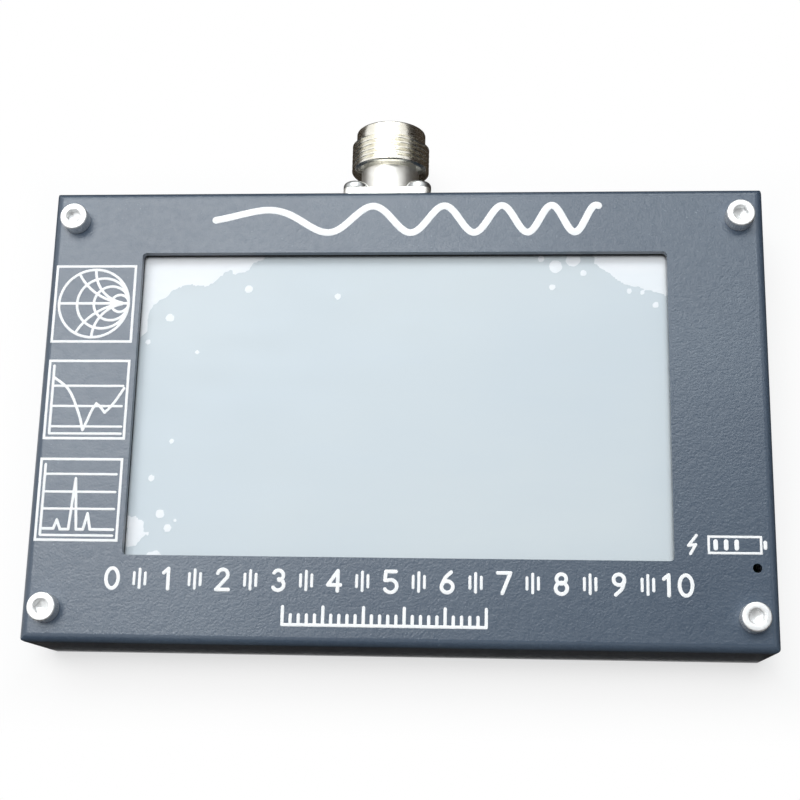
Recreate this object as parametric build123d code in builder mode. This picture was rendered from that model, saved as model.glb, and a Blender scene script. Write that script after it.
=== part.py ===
from build123d import *
from math import radians, tan
import os

# Antenna analyzer: a touch-screen meter in a folded sheet-metal case with a type N aerial socket.
# Millimetres. X runs across the front, Y up towards the aerial socket, Z out of the screen.
# The origin is the middle of the back plate's outer face.

os.makedirs("parts", exist_ok=True)

ON_TOP = (Align.CENTER, Align.CENTER, Align.MIN)
UNDER = (Align.CENTER, Align.CENTER, Align.MAX)

# ---------------------------------------------------------------- driving sizes: case
case_width = 140.0
case_height = 89.6
sheet = 1.5
fold_radius = 1.6  # outside of the folds round the front face
fold_inner_radius = 0.4
corner_radius = 1.2  # upright corners
seam_width = 0.25  # open corner seams of the folded walls
seam_relief_radius = 0.6
plate_gap = 0.25  # between the back plate and the walls

window_width = 102.8
window_height = 60.2
window_x = -0.1
window_y = 1.7
window_corner_radius = 0.8
screen_recess = 3.2  # top of the screen film below the front face

# ---------------------------------------------------------------- corner screws and standoffs
lower_standoff_length = 7.0
upper_standoff_length = 10.0
standoff_flats = 5.0
standoff_chamfer = 0.3
standoff_blind = 1.5  # solid length below an upper standoff's threaded hole
standoff_wall_gap_x = 0.7
standoff_wall_gap_y = 2.2
stud_gap = 1.5  # between the stud and the back screw inside a lower standoff
m3_radius = 1.5
m3_hole_gap = 0.1
thread_gap = 0.05  # radial gap between a screw and its threaded hole
cap_head_radius = 2.75
cap_head_height = 3.0
cap_key_width = 2.5
cap_key_depth = 1.5
cap_screw_end_gap = 2.0  # below a cap screw, in its threaded hole
head_chamfer = 0.3
sunk_head_radius = 2.75
sunk_head_rim = 0.1
sunk_key_width = 2.0
sunk_key_depth = 0.9
sunk_screw_length = 4.0

# ---------------------------------------------------------------- main board
board_thickness = 1.6
board_gap_x = 0.5
board_gap_y = 1.5
board_corner_radius = 1.5

# ---------------------------------------------------------------- display stack
film_thickness = 0.15
film_inset = 0.4
touch_thickness = 1.2
display_margin_x = 1.35  # display module beyond the window
display_margin_y = 3.5
display_frame_wall = 0.3
display_fit = 0.1
backlight_thickness = 1.3
lcd_thickness = 1.3
gasket_set_back = 0.3  # gasket's inner edge back from the window
pad_width = 14.0
pad_height = 8.0
pad_inset_x = 12.0
pad_inset_y = 8.0

flex_thickness = 0.3
flex_overhang = 1.0  # straight run of a flex before it folds
lcd_flex_width = 20.5
touch_flex_width = 5.0
touch_flex_inset = 26.65  # middle of the touch panel's flex from the display's right edge
flex_slot_depth = 2.2
flex_slot_gap = 0.1
flex_slot_height = 1.0  # middle of a flex connector's slot above the board
flex_connector_height = 2.0
flex_connector_length = 5.0
flex_connector_cheek = 1.2

# ---------------------------------------------------------------- aerial socket (type N, 5/8-24)
socket_x = -3.6
socket_flange = 17.5
socket_flange_thickness = 1.8
socket_flange_corner = 1.5
socket_screw_pitch = 12.7
socket_neck_radius = 5.9
socket_neck_end = 7.9  # where the shoulder starts, from the wall
shoulder_chamfer = 0.5
thread_radius = 7.94
thread_pitch = 25.4 / 24
thread_depth = 0.6
thread_turns = 5
thread_collar = 0.6  # plain band behind the thread
nose_radius = 7.1
nose_length = 3.1
nose_chamfer = 0.35
bore_radius = 4.2
bore_mouth_chamfer = 0.3
dielectric_recess = 9.0
contact_recess = 4.5
contact_radius = 1.5
contact_bore_radius = 0.83
contact_bore_depth = 4.0
contact_slit = 0.3
contact_tail_radius = 0.65
contact_tail_length = 6.0
spigot_radius = 5.0  # body behind the flange, through the wall
spigot_gap = 0.3
spigot_reach = 0.5  # beyond the inside of the wall
insulator_tail_radius = 2.6
insulator_tail_reach = 0.4

m25_radius = 1.25
m25_hole_gap = 0.15
m25_head_radius = 2.5
m25_head_height = 1.5
m25_head_round = 0.9
m25_cross_width = 0.6
m25_cross_span = 2.6
m25_cross_depth = 0.8
m25_length = 6.0
m25_nut_flats = 5.0
m25_nut_height = 2.0

# ---------------------------------------------------------------- power switch on the upper wall
switch_x = 24.0
switch_travel = 2.0
switch_frame_width = 8.6
switch_frame_length = 4.0
switch_frame_height = 3.7
switch_frame_setback = 0.3  # behind the inside of the wall
switch_front_wall = 0.5
slider_gap = 0.3
slider_width = 4.4
slider_length = 1.6
slider_height = 2.1
stem_width = 2.0
stem_height = 1.5
stem_reach = 2.2  # beyond the outside of the wall
stem_ribs = 3
rib_depth = 0.2

# ---------------------------------------------------------------- memory card on the left wall
card_y = 5.0
card_width = 11.0
card_length = 15.0
card_thickness = 0.7
card_lip_thickness = 1.0
card_lip_length = 1.5
card_notch = 1.2
card_reach = 1.0  # beyond the outside of the wall
card_push = 0.6
card_gap = 0.3
card_slot_gap = 0.4
card_socket_setback = 0.8  # behind the inside of the wall
card_socket_wall = 0.25
card_socket_side = 1.5

# ---------------------------------------------------------------- USB socket on the right wall
usb_y = -12.0
usb_width = 7.7
usb_height = 3.95
usb_length = 9.2
usb_shell = 0.35
usb_step = 1.1  # chamfered lower corners of the shell
usb_setback = 0.3  # behind the outside of the wall
usb_hole_gap = 0.4
usb_tongue_width = 5.0
usb_tongue_thickness = 1.2
usb_tongue_length = 6.0

# ---------------------------------------------------------------- charge light
light_inset_x = 3.8  # from the case's right edge
light_inset_y = 15.3  # from its lower edge
light_hole_radius = 0.85

# ---------------------------------------------------------------- battery and its leads
tape_thickness = 0.2
tape_width = 58.0
tape_height = 40.0
battery_x = -2.0
battery_y = -4.0
battery_width = 70.0
battery_height = 52.0
battery_round = 1.0
battery_swell_gap = 1.3  # between the battery and the board
terrace_length = 4.0
terrace_inset = 2.0
terrace_thickness = 1.2
lead_radius = 0.5
lead_pitch = 2.0
lead_start_y = 7.0  # middle of the two leads at the battery
lead_bend_x = 11.0  # first bend beyond the battery
battery_socket_inset = 8.5  # from the board's right edge
battery_socket_y = -10.0
battery_socket_width = 7.9
battery_socket_length = 7.0
battery_socket_height = 4.8
battery_socket_wall = 0.7
plug_gap = 0.15
plug_depth = 4.5
plug_length = 6.0

# ---------------------------------------------------------------- chips and other board parts
mcu_size = 14.0
mcu_height = 1.2
mcu_standing = 0.15
mcu_x = 24.0
mcu_y = -6.0
mcu_legs = 20
mcu_leg_pitch = 0.65
mcu_leg_width = 0.3
mcu_leg_reach = 1.0
leg_thickness = 0.2

can_setback = 9.8  # from the board's upper edge
can_width = 32.0
can_height = 24.0
can_depth = 2.0
can_wall = 0.3
can_vent_radius = 0.6
can_vent_pitch = 4.0
can_vent_columns = 6
can_vent_rows = 4

# width, height and thickness of each plain package
clock_package = (5.0, 5.0, 0.9)
mixer_package = (4.9, 3.9, 1.4)
resistor_package = (3.2, 1.6, 0.6)
memory_package = (22.2, 10.2, 1.2)
flash_package = (7.9, 5.3, 1.8)
codec_package = (6.0, 6.0, 0.9)
crystal_package = (5.0, 3.2, 1.2)
regulator_package = (6.5, 3.5, 1.7)
charger_package = (4.9, 3.9, 1.5)
inductor_package = (6.0, 6.0, 2.0)
capacitor_package = (3.5, 2.8, 1.8)
led_package = (1.25, 2.0, 0.8)

# places on the board; those in the shield can are counted from its middle
clock_offset_x = -9.0
mixer_offset_x = 2.0
mixer_offset_y = 4.0
bridge_offset_x = 9.0
bridge_pitch = 3.0
bridge_count = 3
memory_place = (-31.0, 0.0)
flash_place = (-31.0, -13.0)
codec_place = (-2.0, -4.0)
crystal_place = (4.5, -12.0)
regulator_place = (40.0, -6.0)
charger_setback = 11.2  # behind the USB socket's mouth
charger_drop = 12.0  # below the USB socket's middle
inductor_inset = 12.0  # from the board's right edge
inductor_y = 3.5
inductor_pitch = 9.0
capacitor_x = -3.5
capacitor_y = -18.0
capacitor_pitch = 7.0
capacitor_count = 4

# ---------------------------------------------------------------- worked-out places
inside_width = case_width - 2 * sheet
inside_height = case_height - 2 * sheet
board_bottom = sheet + lower_standoff_length
board_top = board_bottom + board_thickness
front_inside = board_top + upper_standoff_length
case_depth = front_inside + sheet
board_width = inside_width - 2 * board_gap_x
board_height = inside_height - 2 * board_gap_y

screw_span_x = inside_width - standoff_flats - 2 * standoff_wall_gap_x
screw_span_y = inside_height - standoff_flats - 2 * standoff_wall_gap_y
m3_hole_radius = m3_radius + m3_hole_gap
upper_hole_depth = upper_standoff_length - standoff_blind
cap_screw_length = sheet + upper_hole_depth - cap_screw_end_gap
stud_length = board_thickness + lower_standoff_length - (sunk_screw_length - sheet) - stud_gap

display_width = window_width + 2 * display_margin_x
display_height = window_height + 2 * display_margin_y
display_low_edge = window_y - display_height / 2
lcd_flex_x = window_x
touch_flex_x = window_x + display_width / 2 - touch_flex_inset
film_top = case_depth - screen_recess
touch_top = film_top - film_thickness
lcd_top = touch_top - touch_thickness
lcd_bottom = lcd_top - lcd_thickness
module_bottom = lcd_bottom - backlight_thickness - display_frame_wall

thread_start = socket_neck_end + thread_collar
thread_end = thread_start + thread_turns * thread_pitch
socket_reach = thread_end + nose_length
socket_z = board_top + contact_tail_radius

upper_wall = Plane((0, case_height / 2, 0), (1, 0, 0), (0, -1, 0))
right_wall = Plane((case_width / 2, 0, 0), (0, 1, 0), (1, 0, 0))
left_wall = Plane((-case_width / 2, 0, 0), (0, 1, 0), (1, 0, 0))
socket_wall = Plane((socket_x, case_height / 2, socket_z), (1, 0, 0), (0, -1, 0))
socket_section = Plane((socket_x, case_height / 2, socket_z), (1, 0, 0), (0, 0, 1))
socket_side_section = Plane((socket_x, case_height / 2, socket_z), (0, 0, -1), (1, 0, 0))
socket_axis = Axis((socket_x, case_height / 2, socket_z), (0, 1, 0))
board_face = Plane.XY.offset(board_top)
board_back = Plane.XY.offset(board_bottom)

switch_front = inside_height / 2 - switch_frame_setback
slider_y = switch_front - switch_front_wall - slider_gap - slider_length / 2
slider_z = board_top + switch_frame_height / 2
card_x = -case_width / 2 - card_reach
card_bottom = board_top + card_socket_wall + card_gap
card_socket_x = -inside_width / 2 + card_socket_setback
usb_z = board_top + usb_height / 2
usb_front = case_width / 2 - usb_setback
battery_bottom = sheet + tape_thickness
battery_thickness = board_bottom - battery_swell_gap - battery_bottom
battery_end = battery_x + battery_width / 2
lead_start_z = battery_bottom + battery_thickness / 2
lead_end_z = board_bottom - battery_socket_height / 2
battery_socket_x = board_width / 2 - battery_socket_inset
battery_socket_front = battery_socket_x - battery_socket_length / 2
can_x = socket_x
can_y = (board_height - can_height) / 2 - can_setback
charger_place = (usb_front - charger_setback, usb_y - charger_drop)
inductor_x = board_width / 2 - inductor_inset
light_x = case_width / 2 - light_inset_x
light_y = light_inset_y - case_height / 2


def keep(piece, name):
    """Label a finished piece and write it as its own STEP file."""
    piece.part.label = name
    export_step(piece.part, f"parts/{name}.step")


def folded_block(width, height, depth, front_radius):
    """A block standing on XY whose front edges are rounded like the folds of a sheet."""
    with BuildPart() as block:
        with BuildSketch(Plane.XZ) as across:
            Rectangle(width, depth, align=(Align.CENTER, Align.MIN))
            fillet(across.vertices().group_by(Axis.Y)[-1], front_radius)
        extrude(amount=height / 2, both=True)
        with BuildSketch(Plane.YZ) as upwards:
            Rectangle(height, depth, align=(Align.CENTER, Align.MIN))
            fillet(upwards.vertices().group_by(Axis.Y)[-1], front_radius)
        extrude(amount=width / 2, both=True, mode=Mode.INTERSECT)
    return block.part


def standoff(length, hole_depth):
    """A hexagonal standoff on XY, two of its flats square to X, threaded from above."""
    with BuildPart() as block:
        with BuildSketch():
            RegularPolygon(standoff_flats / 2, 6, major_radius=False, rotation=30)
        extrude(amount=length)
        ends = block.edges().group_by(Axis.Z)
        chamfer(ends[0] + ends[-1], standoff_chamfer)
        with Locations((0, 0, length)):
            Hole(m3_radius + thread_gap, depth=hole_depth)
    return block.part


def cap_screw():
    """An M3 socket-head screw, the underside of its head on XY and its shank below."""
    with BuildPart() as screw:
        Cylinder(cap_head_radius, cap_head_height, align=ON_TOP)
        chamfer(screw.edges().group_by(Axis.Z)[-1], head_chamfer)
        with BuildSketch(Plane.XY.offset(cap_head_height)):
            RegularPolygon(cap_key_width / 2, 6, major_radius=False)
        extrude(amount=-cap_key_depth, mode=Mode.SUBTRACT)
        Cylinder(m3_radius, cap_screw_length, align=UNDER)
        chamfer(screw.edges().group_by(Axis.Z)[0], head_chamfer)
    return screw.part


def sunk_screw():
    """An M3 countersunk screw, its flat head flush with XY and its shank below."""
    cone_height = sunk_head_radius - m3_radius
    with BuildPart() as screw:
        Cylinder(m3_radius, sunk_screw_length, align=UNDER)
        chamfer(screw.edges().group_by(Axis.Z)[0], head_chamfer)
        Cylinder(sunk_head_radius, sunk_head_rim, align=UNDER)
        with Locations((0, 0, -sunk_head_rim)):
            Cone(m3_radius, sunk_head_radius, cone_height, align=UNDER)
        with BuildSketch():
            RegularPolygon(sunk_key_width / 2, 6, major_radius=False)
        extrude(amount=-sunk_key_depth, mode=Mode.SUBTRACT)
    return screw.part


def pan_screw():
    """An M2.5 pan-head screw with a cross recess, its head on XY and its shank below."""
    with BuildPart() as screw:
        Cylinder(m25_head_radius, m25_head_height, align=ON_TOP)
        fillet(screw.edges().group_by(Axis.Z)[-1], m25_head_round)
        with BuildSketch(Plane.XY.offset(m25_head_height)):
            Rectangle(m25_cross_span, m25_cross_width)
            Rectangle(m25_cross_width, m25_cross_span)
        extrude(amount=-m25_cross_depth, mode=Mode.SUBTRACT)
        Cylinder(m25_radius, m25_length, align=UNDER)
    return screw.part


def hex_nut():
    """An M2.5 nut on XY, two of its flats square to Y."""
    with BuildPart() as nut:
        with BuildSketch():
            RegularPolygon(m25_nut_flats / 2, 6, major_radius=False)
            Circle(m25_radius + thread_gap, mode=Mode.SUBTRACT)
        extrude(amount=m25_nut_height)
    return nut.part


def folded_flex(middle_x, width, upper_z, upper_y, lower_z, lower_y):
    """A flat cable that leaves the display, folds back on itself and enters its connector."""
    fold_y = display_low_edge - flex_overhang
    outer_radius = (upper_z - lower_z + flex_thickness) / 2
    with BuildPart() as flex:
        with BuildSketch(Plane.YZ.offset(middle_x)):
            with Locations((fold_y, (upper_z + lower_z) / 2)):
                Circle(outer_radius)
                Circle(outer_radius - flex_thickness, mode=Mode.SUBTRACT)
                Rectangle(
                    outer_radius,
                    2 * outer_radius,
                    align=(Align.MIN, Align.CENTER),
                    mode=Mode.SUBTRACT,
                )
            with Locations((fold_y, upper_z)):
                Rectangle(upper_y - fold_y, flex_thickness, align=(Align.MIN, Align.CENTER))
            with Locations((fold_y, lower_z)):
                Rectangle(lower_y - fold_y, flex_thickness, align=(Align.MIN, Align.CENTER))
        extrude(amount=width / 2, both=True)
    return flex


def flex_connector(middle_x, flex_width):
    """A board connector with a slot in its lower side for a flat cable."""
    with BuildPart(board_face) as connector:
        with Locations((middle_x, flex_connector_front)):
            Box(
                flex_width + 2 * flex_connector_cheek,
                flex_connector_length,
                flex_connector_height,
                align=(Align.CENTER, Align.MIN, Align.MIN),
            )
        with Locations((middle_x, flex_connector_front, flex_slot_height)):
            Box(
                flex_width + 2 * flex_slot_gap,
                flex_slot_depth,
                flex_thickness + 2 * flex_slot_gap,
                align=(Align.CENTER, Align.MIN, Align.CENTER),
                mode=Mode.SUBTRACT,
            )
    return connector


def chips(package, *places):
    """One or more alike flat packages standing on the board, each place given as x and y."""
    with BuildPart(board_face) as group:
        with Locations(*places):
            Box(*package, align=ON_TOP)
    return group


def row_of(count, middle_x, middle_y, step_x, step_y):
    """The x and y of evenly spaced places in a straight row."""
    places = []
    for index in range(count):
        along = index - (count - 1) / 2
        places.append((middle_x + along * step_x, middle_y + along * step_y))
    return places


def bend_radii(points):
    """The radius at each inner point: 0.45 of the shorter run, over the tangent of half the turn."""
    radii = []
    for before, here, after in zip(points, points[1:], points[2:]):
        arriving = Vector(*here) - Vector(*before)
        leaving = Vector(*after) - Vector(*here)
        turn = arriving.get_angle(leaving)
        shorter = min(arriving.length, leaving.length)
        radii.append(0.45 * shorter / tan(radians(turn / 2)))
    return radii


def battery_lead(offset, bend_x):
    """One insulated lead, from the battery's end to its plug."""
    start = battery_end + terrace_length
    points = [
        (start, battery_y + lead_start_y + offset, lead_start_z),
        (bend_x, battery_y + lead_start_y + offset, lead_start_z),
        (bend_x, battery_socket_y + offset, lead_end_z),
        (battery_socket_front - plug_length + plug_depth, battery_socket_y + offset, lead_end_z),
    ]
    radii = bend_radii(points)
    print("lead bend radii:", [round(radius, 1) for radius in radii])
    with BuildPart() as lead:
        with BuildLine() as route:
            FilletPolyline(*points, radius=radii)
        with BuildSketch(Plane(origin=points[0], z_dir=(1, 0, 0))):
            Circle(lead_radius)
        sweep(path=route.wires()[0])
    return lead


# ---------------------------------------------------------------- case
with BuildPart() as front_cover:
    add(folded_block(case_width, case_height, case_depth, fold_radius))
    with BuildSketch():
        RectangleRounded(case_width, case_height, corner_radius)
    extrude(amount=case_depth, mode=Mode.INTERSECT)
    add(
        folded_block(inside_width, inside_height, front_inside, fold_inner_radius),
        mode=Mode.SUBTRACT,
    )
    # display window, screw holes and charge-light hole through the front
    with BuildSketch(Plane.XY.offset(front_inside)):
        with Locations((window_x, window_y)):
            RectangleRounded(window_width, window_height, window_corner_radius)
        with GridLocations(screw_span_x, screw_span_y, 2, 2):
            Circle(m3_hole_radius)
        with Locations((light_x, light_y)):
            Circle(light_hole_radius)
    extrude(amount=sheet, mode=Mode.SUBTRACT)
    # aerial socket and its four screws through the upper wall
    with BuildSketch(socket_wall):
        Circle(spigot_radius + spigot_gap)
        with GridLocations(socket_screw_pitch, socket_screw_pitch, 2, 2):
            Circle(m25_radius + m25_hole_gap)
    extrude(amount=sheet, mode=Mode.SUBTRACT)
    # power switch slot through the upper wall
    with BuildSketch(upper_wall):
        with Locations((switch_x, slider_z)):
            Rectangle(stem_width + switch_travel + 2 * slider_gap, stem_height + 2 * slider_gap)
    extrude(amount=sheet, mode=Mode.SUBTRACT)
    # USB hole through the right wall
    with BuildSketch(right_wall):
        with Locations((usb_y, usb_z)):
            RectangleRounded(usb_width + 2 * usb_hole_gap, usb_height + 2 * usb_hole_gap, usb_hole_gap)
    extrude(amount=-sheet, mode=Mode.SUBTRACT)
    # memory card slot through the left wall
    with BuildSketch(left_wall):
        with Locations((card_y, card_bottom + card_lip_thickness / 2)):
            Rectangle(card_width + 2 * card_slot_gap, card_lip_thickness + 2 * card_slot_gap)
    extrude(amount=sheet, mode=Mode.SUBTRACT)
    # corner seams in the side walls, each ending in a round relief hole below the front fold
    seam_top = case_depth - 2 * fold_radius
    seam_span = inside_height - seam_width
    for wall, inward in ((left_wall, sheet), (right_wall, -sheet)):
        with BuildSketch(wall):
            with GridLocations(seam_span, 0, 2, 1):
                Rectangle(seam_width, seam_top, align=(Align.CENTER, Align.MIN))
            with Locations((0, seam_top)):
                with GridLocations(seam_span, 0, 2, 1):
                    Circle(seam_relief_radius)
        extrude(amount=inward, mode=Mode.SUBTRACT)
keep(front_cover, "front_cover")

with BuildPart() as back_plate:
    with BuildSketch():
        RectangleRounded(
            inside_width - 2 * plate_gap, inside_height - 2 * plate_gap, corner_radius
        )
    extrude(amount=sheet)
    with Locations(Plane.XY.rotated((180, 0, 0))):
        with GridLocations(screw_span_x, screw_span_y, 2, 2):
            CounterSinkHole(
                m3_hole_radius,
                sunk_head_radius + m3_hole_gap + sunk_head_rim,
                depth=sheet,
                counter_sink_angle=90,
            )
keep(back_plate, "back_plate")

# ---------------------------------------------------------------- fasteners that stack the case
with BuildPart(Plane.XY.offset(case_depth)) as case_screws:
    with GridLocations(screw_span_x, screw_span_y, 2, 2):
        add(cap_screw())
keep(case_screws, "case_screws")

with BuildPart(Plane.XY.rotated((180, 0, 0))) as back_screws:
    with GridLocations(screw_span_x, screw_span_y, 2, 2):
        add(sunk_screw())
keep(back_screws, "back_screws")

with BuildPart(Plane.XY.offset(sheet)) as lower_standoffs:
    with GridLocations(screw_span_x, screw_span_y, 2, 2):
        add(standoff(lower_standoff_length, lower_standoff_length))
keep(lower_standoffs, "lower_standoffs")

with BuildPart(board_face) as upper_standoffs:
    with GridLocations(screw_span_x, screw_span_y, 2, 2):
        add(standoff(upper_standoff_length, upper_hole_depth))
        Cylinder(m3_radius, stud_length, align=UNDER)
keep(upper_standoffs, "upper_standoffs")

# ---------------------------------------------------------------- main board
with BuildPart(board_back) as main_board:
    with BuildSketch(board_back):
        RectangleRounded(board_width, board_height, board_corner_radius)
        with GridLocations(screw_span_x, screw_span_y, 2, 2):
            Circle(m3_hole_radius, mode=Mode.SUBTRACT)
    extrude(amount=board_thickness)
keep(main_board, "main_board")

# ---------------------------------------------------------------- display stack
with BuildPart() as screen_film:
    with BuildSketch(Plane.XY.offset(touch_top)):
        with Locations((window_x, window_y)):
            Rectangle(display_width - 2 * film_inset, display_height - 2 * film_inset)
    extrude(amount=film_thickness)
keep(screen_film, "screen_film")

with BuildPart() as touch_panel:
    with BuildSketch(Plane.XY.offset(lcd_top)):
        with Locations((window_x, window_y)):
            Rectangle(display_width, display_height)
    extrude(amount=touch_thickness)
keep(touch_panel, "touch_panel")

with BuildPart() as display_gasket:
    with BuildSketch(Plane.XY.offset(film_top)):
        with Locations((window_x, window_y)):
            Rectangle(display_width - 2 * film_inset, display_height - 2 * film_inset)
            Rectangle(
                window_width + 2 * gasket_set_back,
                window_height + 2 * gasket_set_back,
                mode=Mode.SUBTRACT,
            )
    extrude(amount=front_inside - film_top)
keep(display_gasket, "display_gasket")

frame_inside_width = display_width - 2 * display_frame_wall
frame_inside_height = display_height - 2 * display_frame_wall
lcd_low_edge = display_low_edge + display_frame_wall + display_fit

with BuildPart() as lcd_frame:
    with BuildSketch(Plane.XY.offset(module_bottom)):
        with Locations((window_x, window_y)):
            Rectangle(display_width, display_height)
    extrude(amount=lcd_top - module_bottom)
    with BuildSketch(Plane.XY.offset(module_bottom + display_frame_wall)):
        with Locations((window_x, window_y)):
            Rectangle(frame_inside_width, frame_inside_height)
    extrude(amount=lcd_top - module_bottom, mode=Mode.SUBTRACT)
    # gap in the lower wall for the flat cable
    with BuildSketch(Plane.XY.offset(lcd_bottom)):
        with Locations((lcd_flex_x, display_low_edge)):
            Rectangle(lcd_flex_width + 2 * display_frame_wall, 2 * display_frame_wall)
    extrude(amount=lcd_thickness, mode=Mode.SUBTRACT)
keep(lcd_frame, "lcd_frame")

with BuildPart() as backlight_unit:
    with BuildSketch(Plane.XY.offset(module_bottom + display_frame_wall)):
        with Locations((window_x, window_y)):
            Rectangle(frame_inside_width - 2 * display_fit, frame_inside_height - 2 * display_fit)
    extrude(amount=backlight_thickness)
keep(backlight_unit, "backlight_unit")

with BuildPart() as lcd_panel:
    with BuildSketch(Plane.XY.offset(lcd_bottom)):
        with Locations((window_x, window_y)):
            Rectangle(frame_inside_width - 2 * display_fit, frame_inside_height - 2 * display_fit)
    extrude(amount=lcd_thickness)
keep(lcd_panel, "lcd_panel")

with BuildPart(board_face) as lcd_support_pads:
    with Locations((window_x, window_y)):
        with GridLocations(display_width - 2 * pad_inset_x, display_height - 2 * pad_inset_y, 2, 2):
            Box(pad_width, pad_height, module_bottom - board_top, align=ON_TOP)
keep(lcd_support_pads, "lcd_support_pads")

flex_connector_front = display_low_edge + flex_overhang
flex_slot_z = board_top + flex_slot_height
flex_end = flex_connector_front + flex_slot_depth - flex_slot_gap

lcd_flex = folded_flex(
    lcd_flex_x,
    lcd_flex_width,
    lcd_top - lcd_thickness / 2,
    lcd_low_edge,
    flex_slot_z,
    flex_end,
)
keep(lcd_flex, "lcd_flex")

touch_flex = folded_flex(
    touch_flex_x,
    touch_flex_width,
    touch_top - touch_thickness / 2,
    display_low_edge,
    flex_slot_z,
    flex_end,
)
keep(touch_flex, "touch_flex")

lcd_flex_connector = flex_connector(lcd_flex_x, lcd_flex_width)
keep(lcd_flex_connector, "lcd_flex_connector")

touch_flex_connector = flex_connector(touch_flex_x, touch_flex_width)
keep(touch_flex_connector, "touch_flex_connector")

# ---------------------------------------------------------------- aerial socket
with BuildPart() as aerial_socket_body:
    with BuildSketch(socket_wall):
        RectangleRounded(socket_flange, socket_flange, socket_flange_corner)
    extrude(amount=-socket_flange_thickness)
    with BuildSketch(socket_section):
        with BuildLine():
            Polyline(
                (0, -sheet - spigot_reach),
                (spigot_radius, -sheet - spigot_reach),
                (spigot_radius, 0),
                (socket_neck_radius, socket_flange_thickness),
                (socket_neck_radius, socket_neck_end),
                (thread_radius - shoulder_chamfer, socket_neck_end),
                (thread_radius, socket_neck_end + shoulder_chamfer),
                (thread_radius, thread_end),
                (nose_radius, thread_end),
                (nose_radius, socket_reach - nose_chamfer),
                (nose_radius - nose_chamfer, socket_reach),
                (0, socket_reach),
                close=True,
            )
        make_face()
    revolve(axis=socket_axis)
    # thread: one V groove for each turn
    with BuildSketch(socket_section):
        half_groove = thread_depth * tan(radians(30))
        for turn in range(thread_turns):
            groove_y = thread_start + (turn + 0.5) * thread_pitch
            with BuildLine():
                Polyline(
                    (thread_radius, groove_y - half_groove),
                    (thread_radius - thread_depth, groove_y),
                    (thread_radius, groove_y + half_groove),
                    close=True,
                )
            make_face()
    revolve(axis=socket_axis, mode=Mode.SUBTRACT)
    # bore for the plug, with a chamfered mouth, and the narrower way through for the insulator
    with BuildSketch(socket_section):
        with BuildLine():
            Polyline(
                (0, socket_reach),
                (bore_radius + bore_mouth_chamfer, socket_reach),
                (bore_radius, socket_reach - bore_mouth_chamfer),
                (bore_radius, 0),
                (insulator_tail_radius, 0),
                (insulator_tail_radius, -sheet - spigot_reach),
                (0, -sheet - spigot_reach),
                close=True,
            )
        make_face()
    revolve(axis=socket_axis, mode=Mode.SUBTRACT)
    with BuildSketch(socket_wall):
        with GridLocations(socket_screw_pitch, socket_screw_pitch, 2, 2):
            Circle(m25_radius + m25_hole_gap)
    extrude(amount=-socket_flange_thickness, mode=Mode.SUBTRACT)
keep(aerial_socket_body, "aerial_socket_body")

insulator_front = socket_reach - dielectric_recess
insulator_back = -sheet - spigot_reach - insulator_tail_reach
with BuildPart() as socket_insulator:
    with BuildSketch(socket_section):
        with BuildLine():
            Polyline(
                (contact_tail_radius, insulator_back),
                (insulator_tail_radius, insulator_back),
                (insulator_tail_radius, 0),
                (bore_radius, 0),
                (bore_radius, insulator_front),
                (contact_radius, insulator_front),
                (contact_radius, socket_flange_thickness),
                (contact_tail_radius, socket_flange_thickness),
                close=True,
            )
        make_face()
    revolve(axis=socket_axis)
keep(socket_insulator, "socket_insulator")

contact_front = socket_reach - contact_recess
with BuildPart() as socket_contact:
    with BuildSketch(socket_section):
        with BuildLine():
            Polyline(
                (0, insulator_back - contact_tail_length),
                (contact_tail_radius, insulator_back - contact_tail_length),
                (contact_tail_radius, socket_flange_thickness),
                (contact_radius, socket_flange_thickness),
                (contact_radius, contact_front),
                (contact_bore_radius, contact_front),
                (contact_bore_radius, contact_front - contact_bore_depth),
                (0, contact_front - contact_bore_depth),
                close=True,
            )
        make_face()
    revolve(axis=socket_axis)
    # crossed slits that leave four springy fingers round the contact's bore
    for slit_plane in (socket_section, socket_side_section):
        with BuildSketch(slit_plane):
            with Locations((0, contact_front)):
                Rectangle(contact_slit, contact_bore_depth, align=(Align.CENTER, Align.MAX))
        extrude(amount=contact_radius, both=True, mode=Mode.SUBTRACT)
keep(socket_contact, "socket_contact")

flange_front = Plane(
    (socket_x, case_height / 2 + socket_flange_thickness, socket_z), (-1, 0, 0), (0, 1, 0)
)
with BuildPart(flange_front) as socket_screws:
    with GridLocations(socket_screw_pitch, socket_screw_pitch, 2, 2):
        add(pan_screw())
keep(socket_screws, "socket_screws")

wall_inside = Plane((socket_x, inside_height / 2, socket_z), (1, 0, 0), (0, -1, 0))
with BuildPart(wall_inside) as socket_nuts:
    with GridLocations(socket_screw_pitch, socket_screw_pitch, 2, 2):
        add(hex_nut())
keep(socket_nuts, "socket_nuts")

# ---------------------------------------------------------------- power switch
with BuildPart() as power_switch_frame:
    with Locations((switch_x, switch_front, board_top)):
        Box(
            switch_frame_width,
            switch_frame_length,
            switch_frame_height,
            align=(Align.CENTER, Align.MAX, Align.MIN),
        )
    with Locations((switch_x, slider_y, slider_z)):
        Box(
            slider_width + switch_travel + 2 * slider_gap,
            slider_length + 2 * slider_gap,
            slider_height + 2 * slider_gap,
            mode=Mode.SUBTRACT,
        )
        Box(
            stem_width + switch_travel + 2 * slider_gap,
            switch_frame_length,
            stem_height + 2 * slider_gap,
            align=(Align.CENTER, Align.MIN, Align.CENTER),
            mode=Mode.SUBTRACT,
        )
keep(power_switch_frame, "power_switch_frame")

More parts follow.
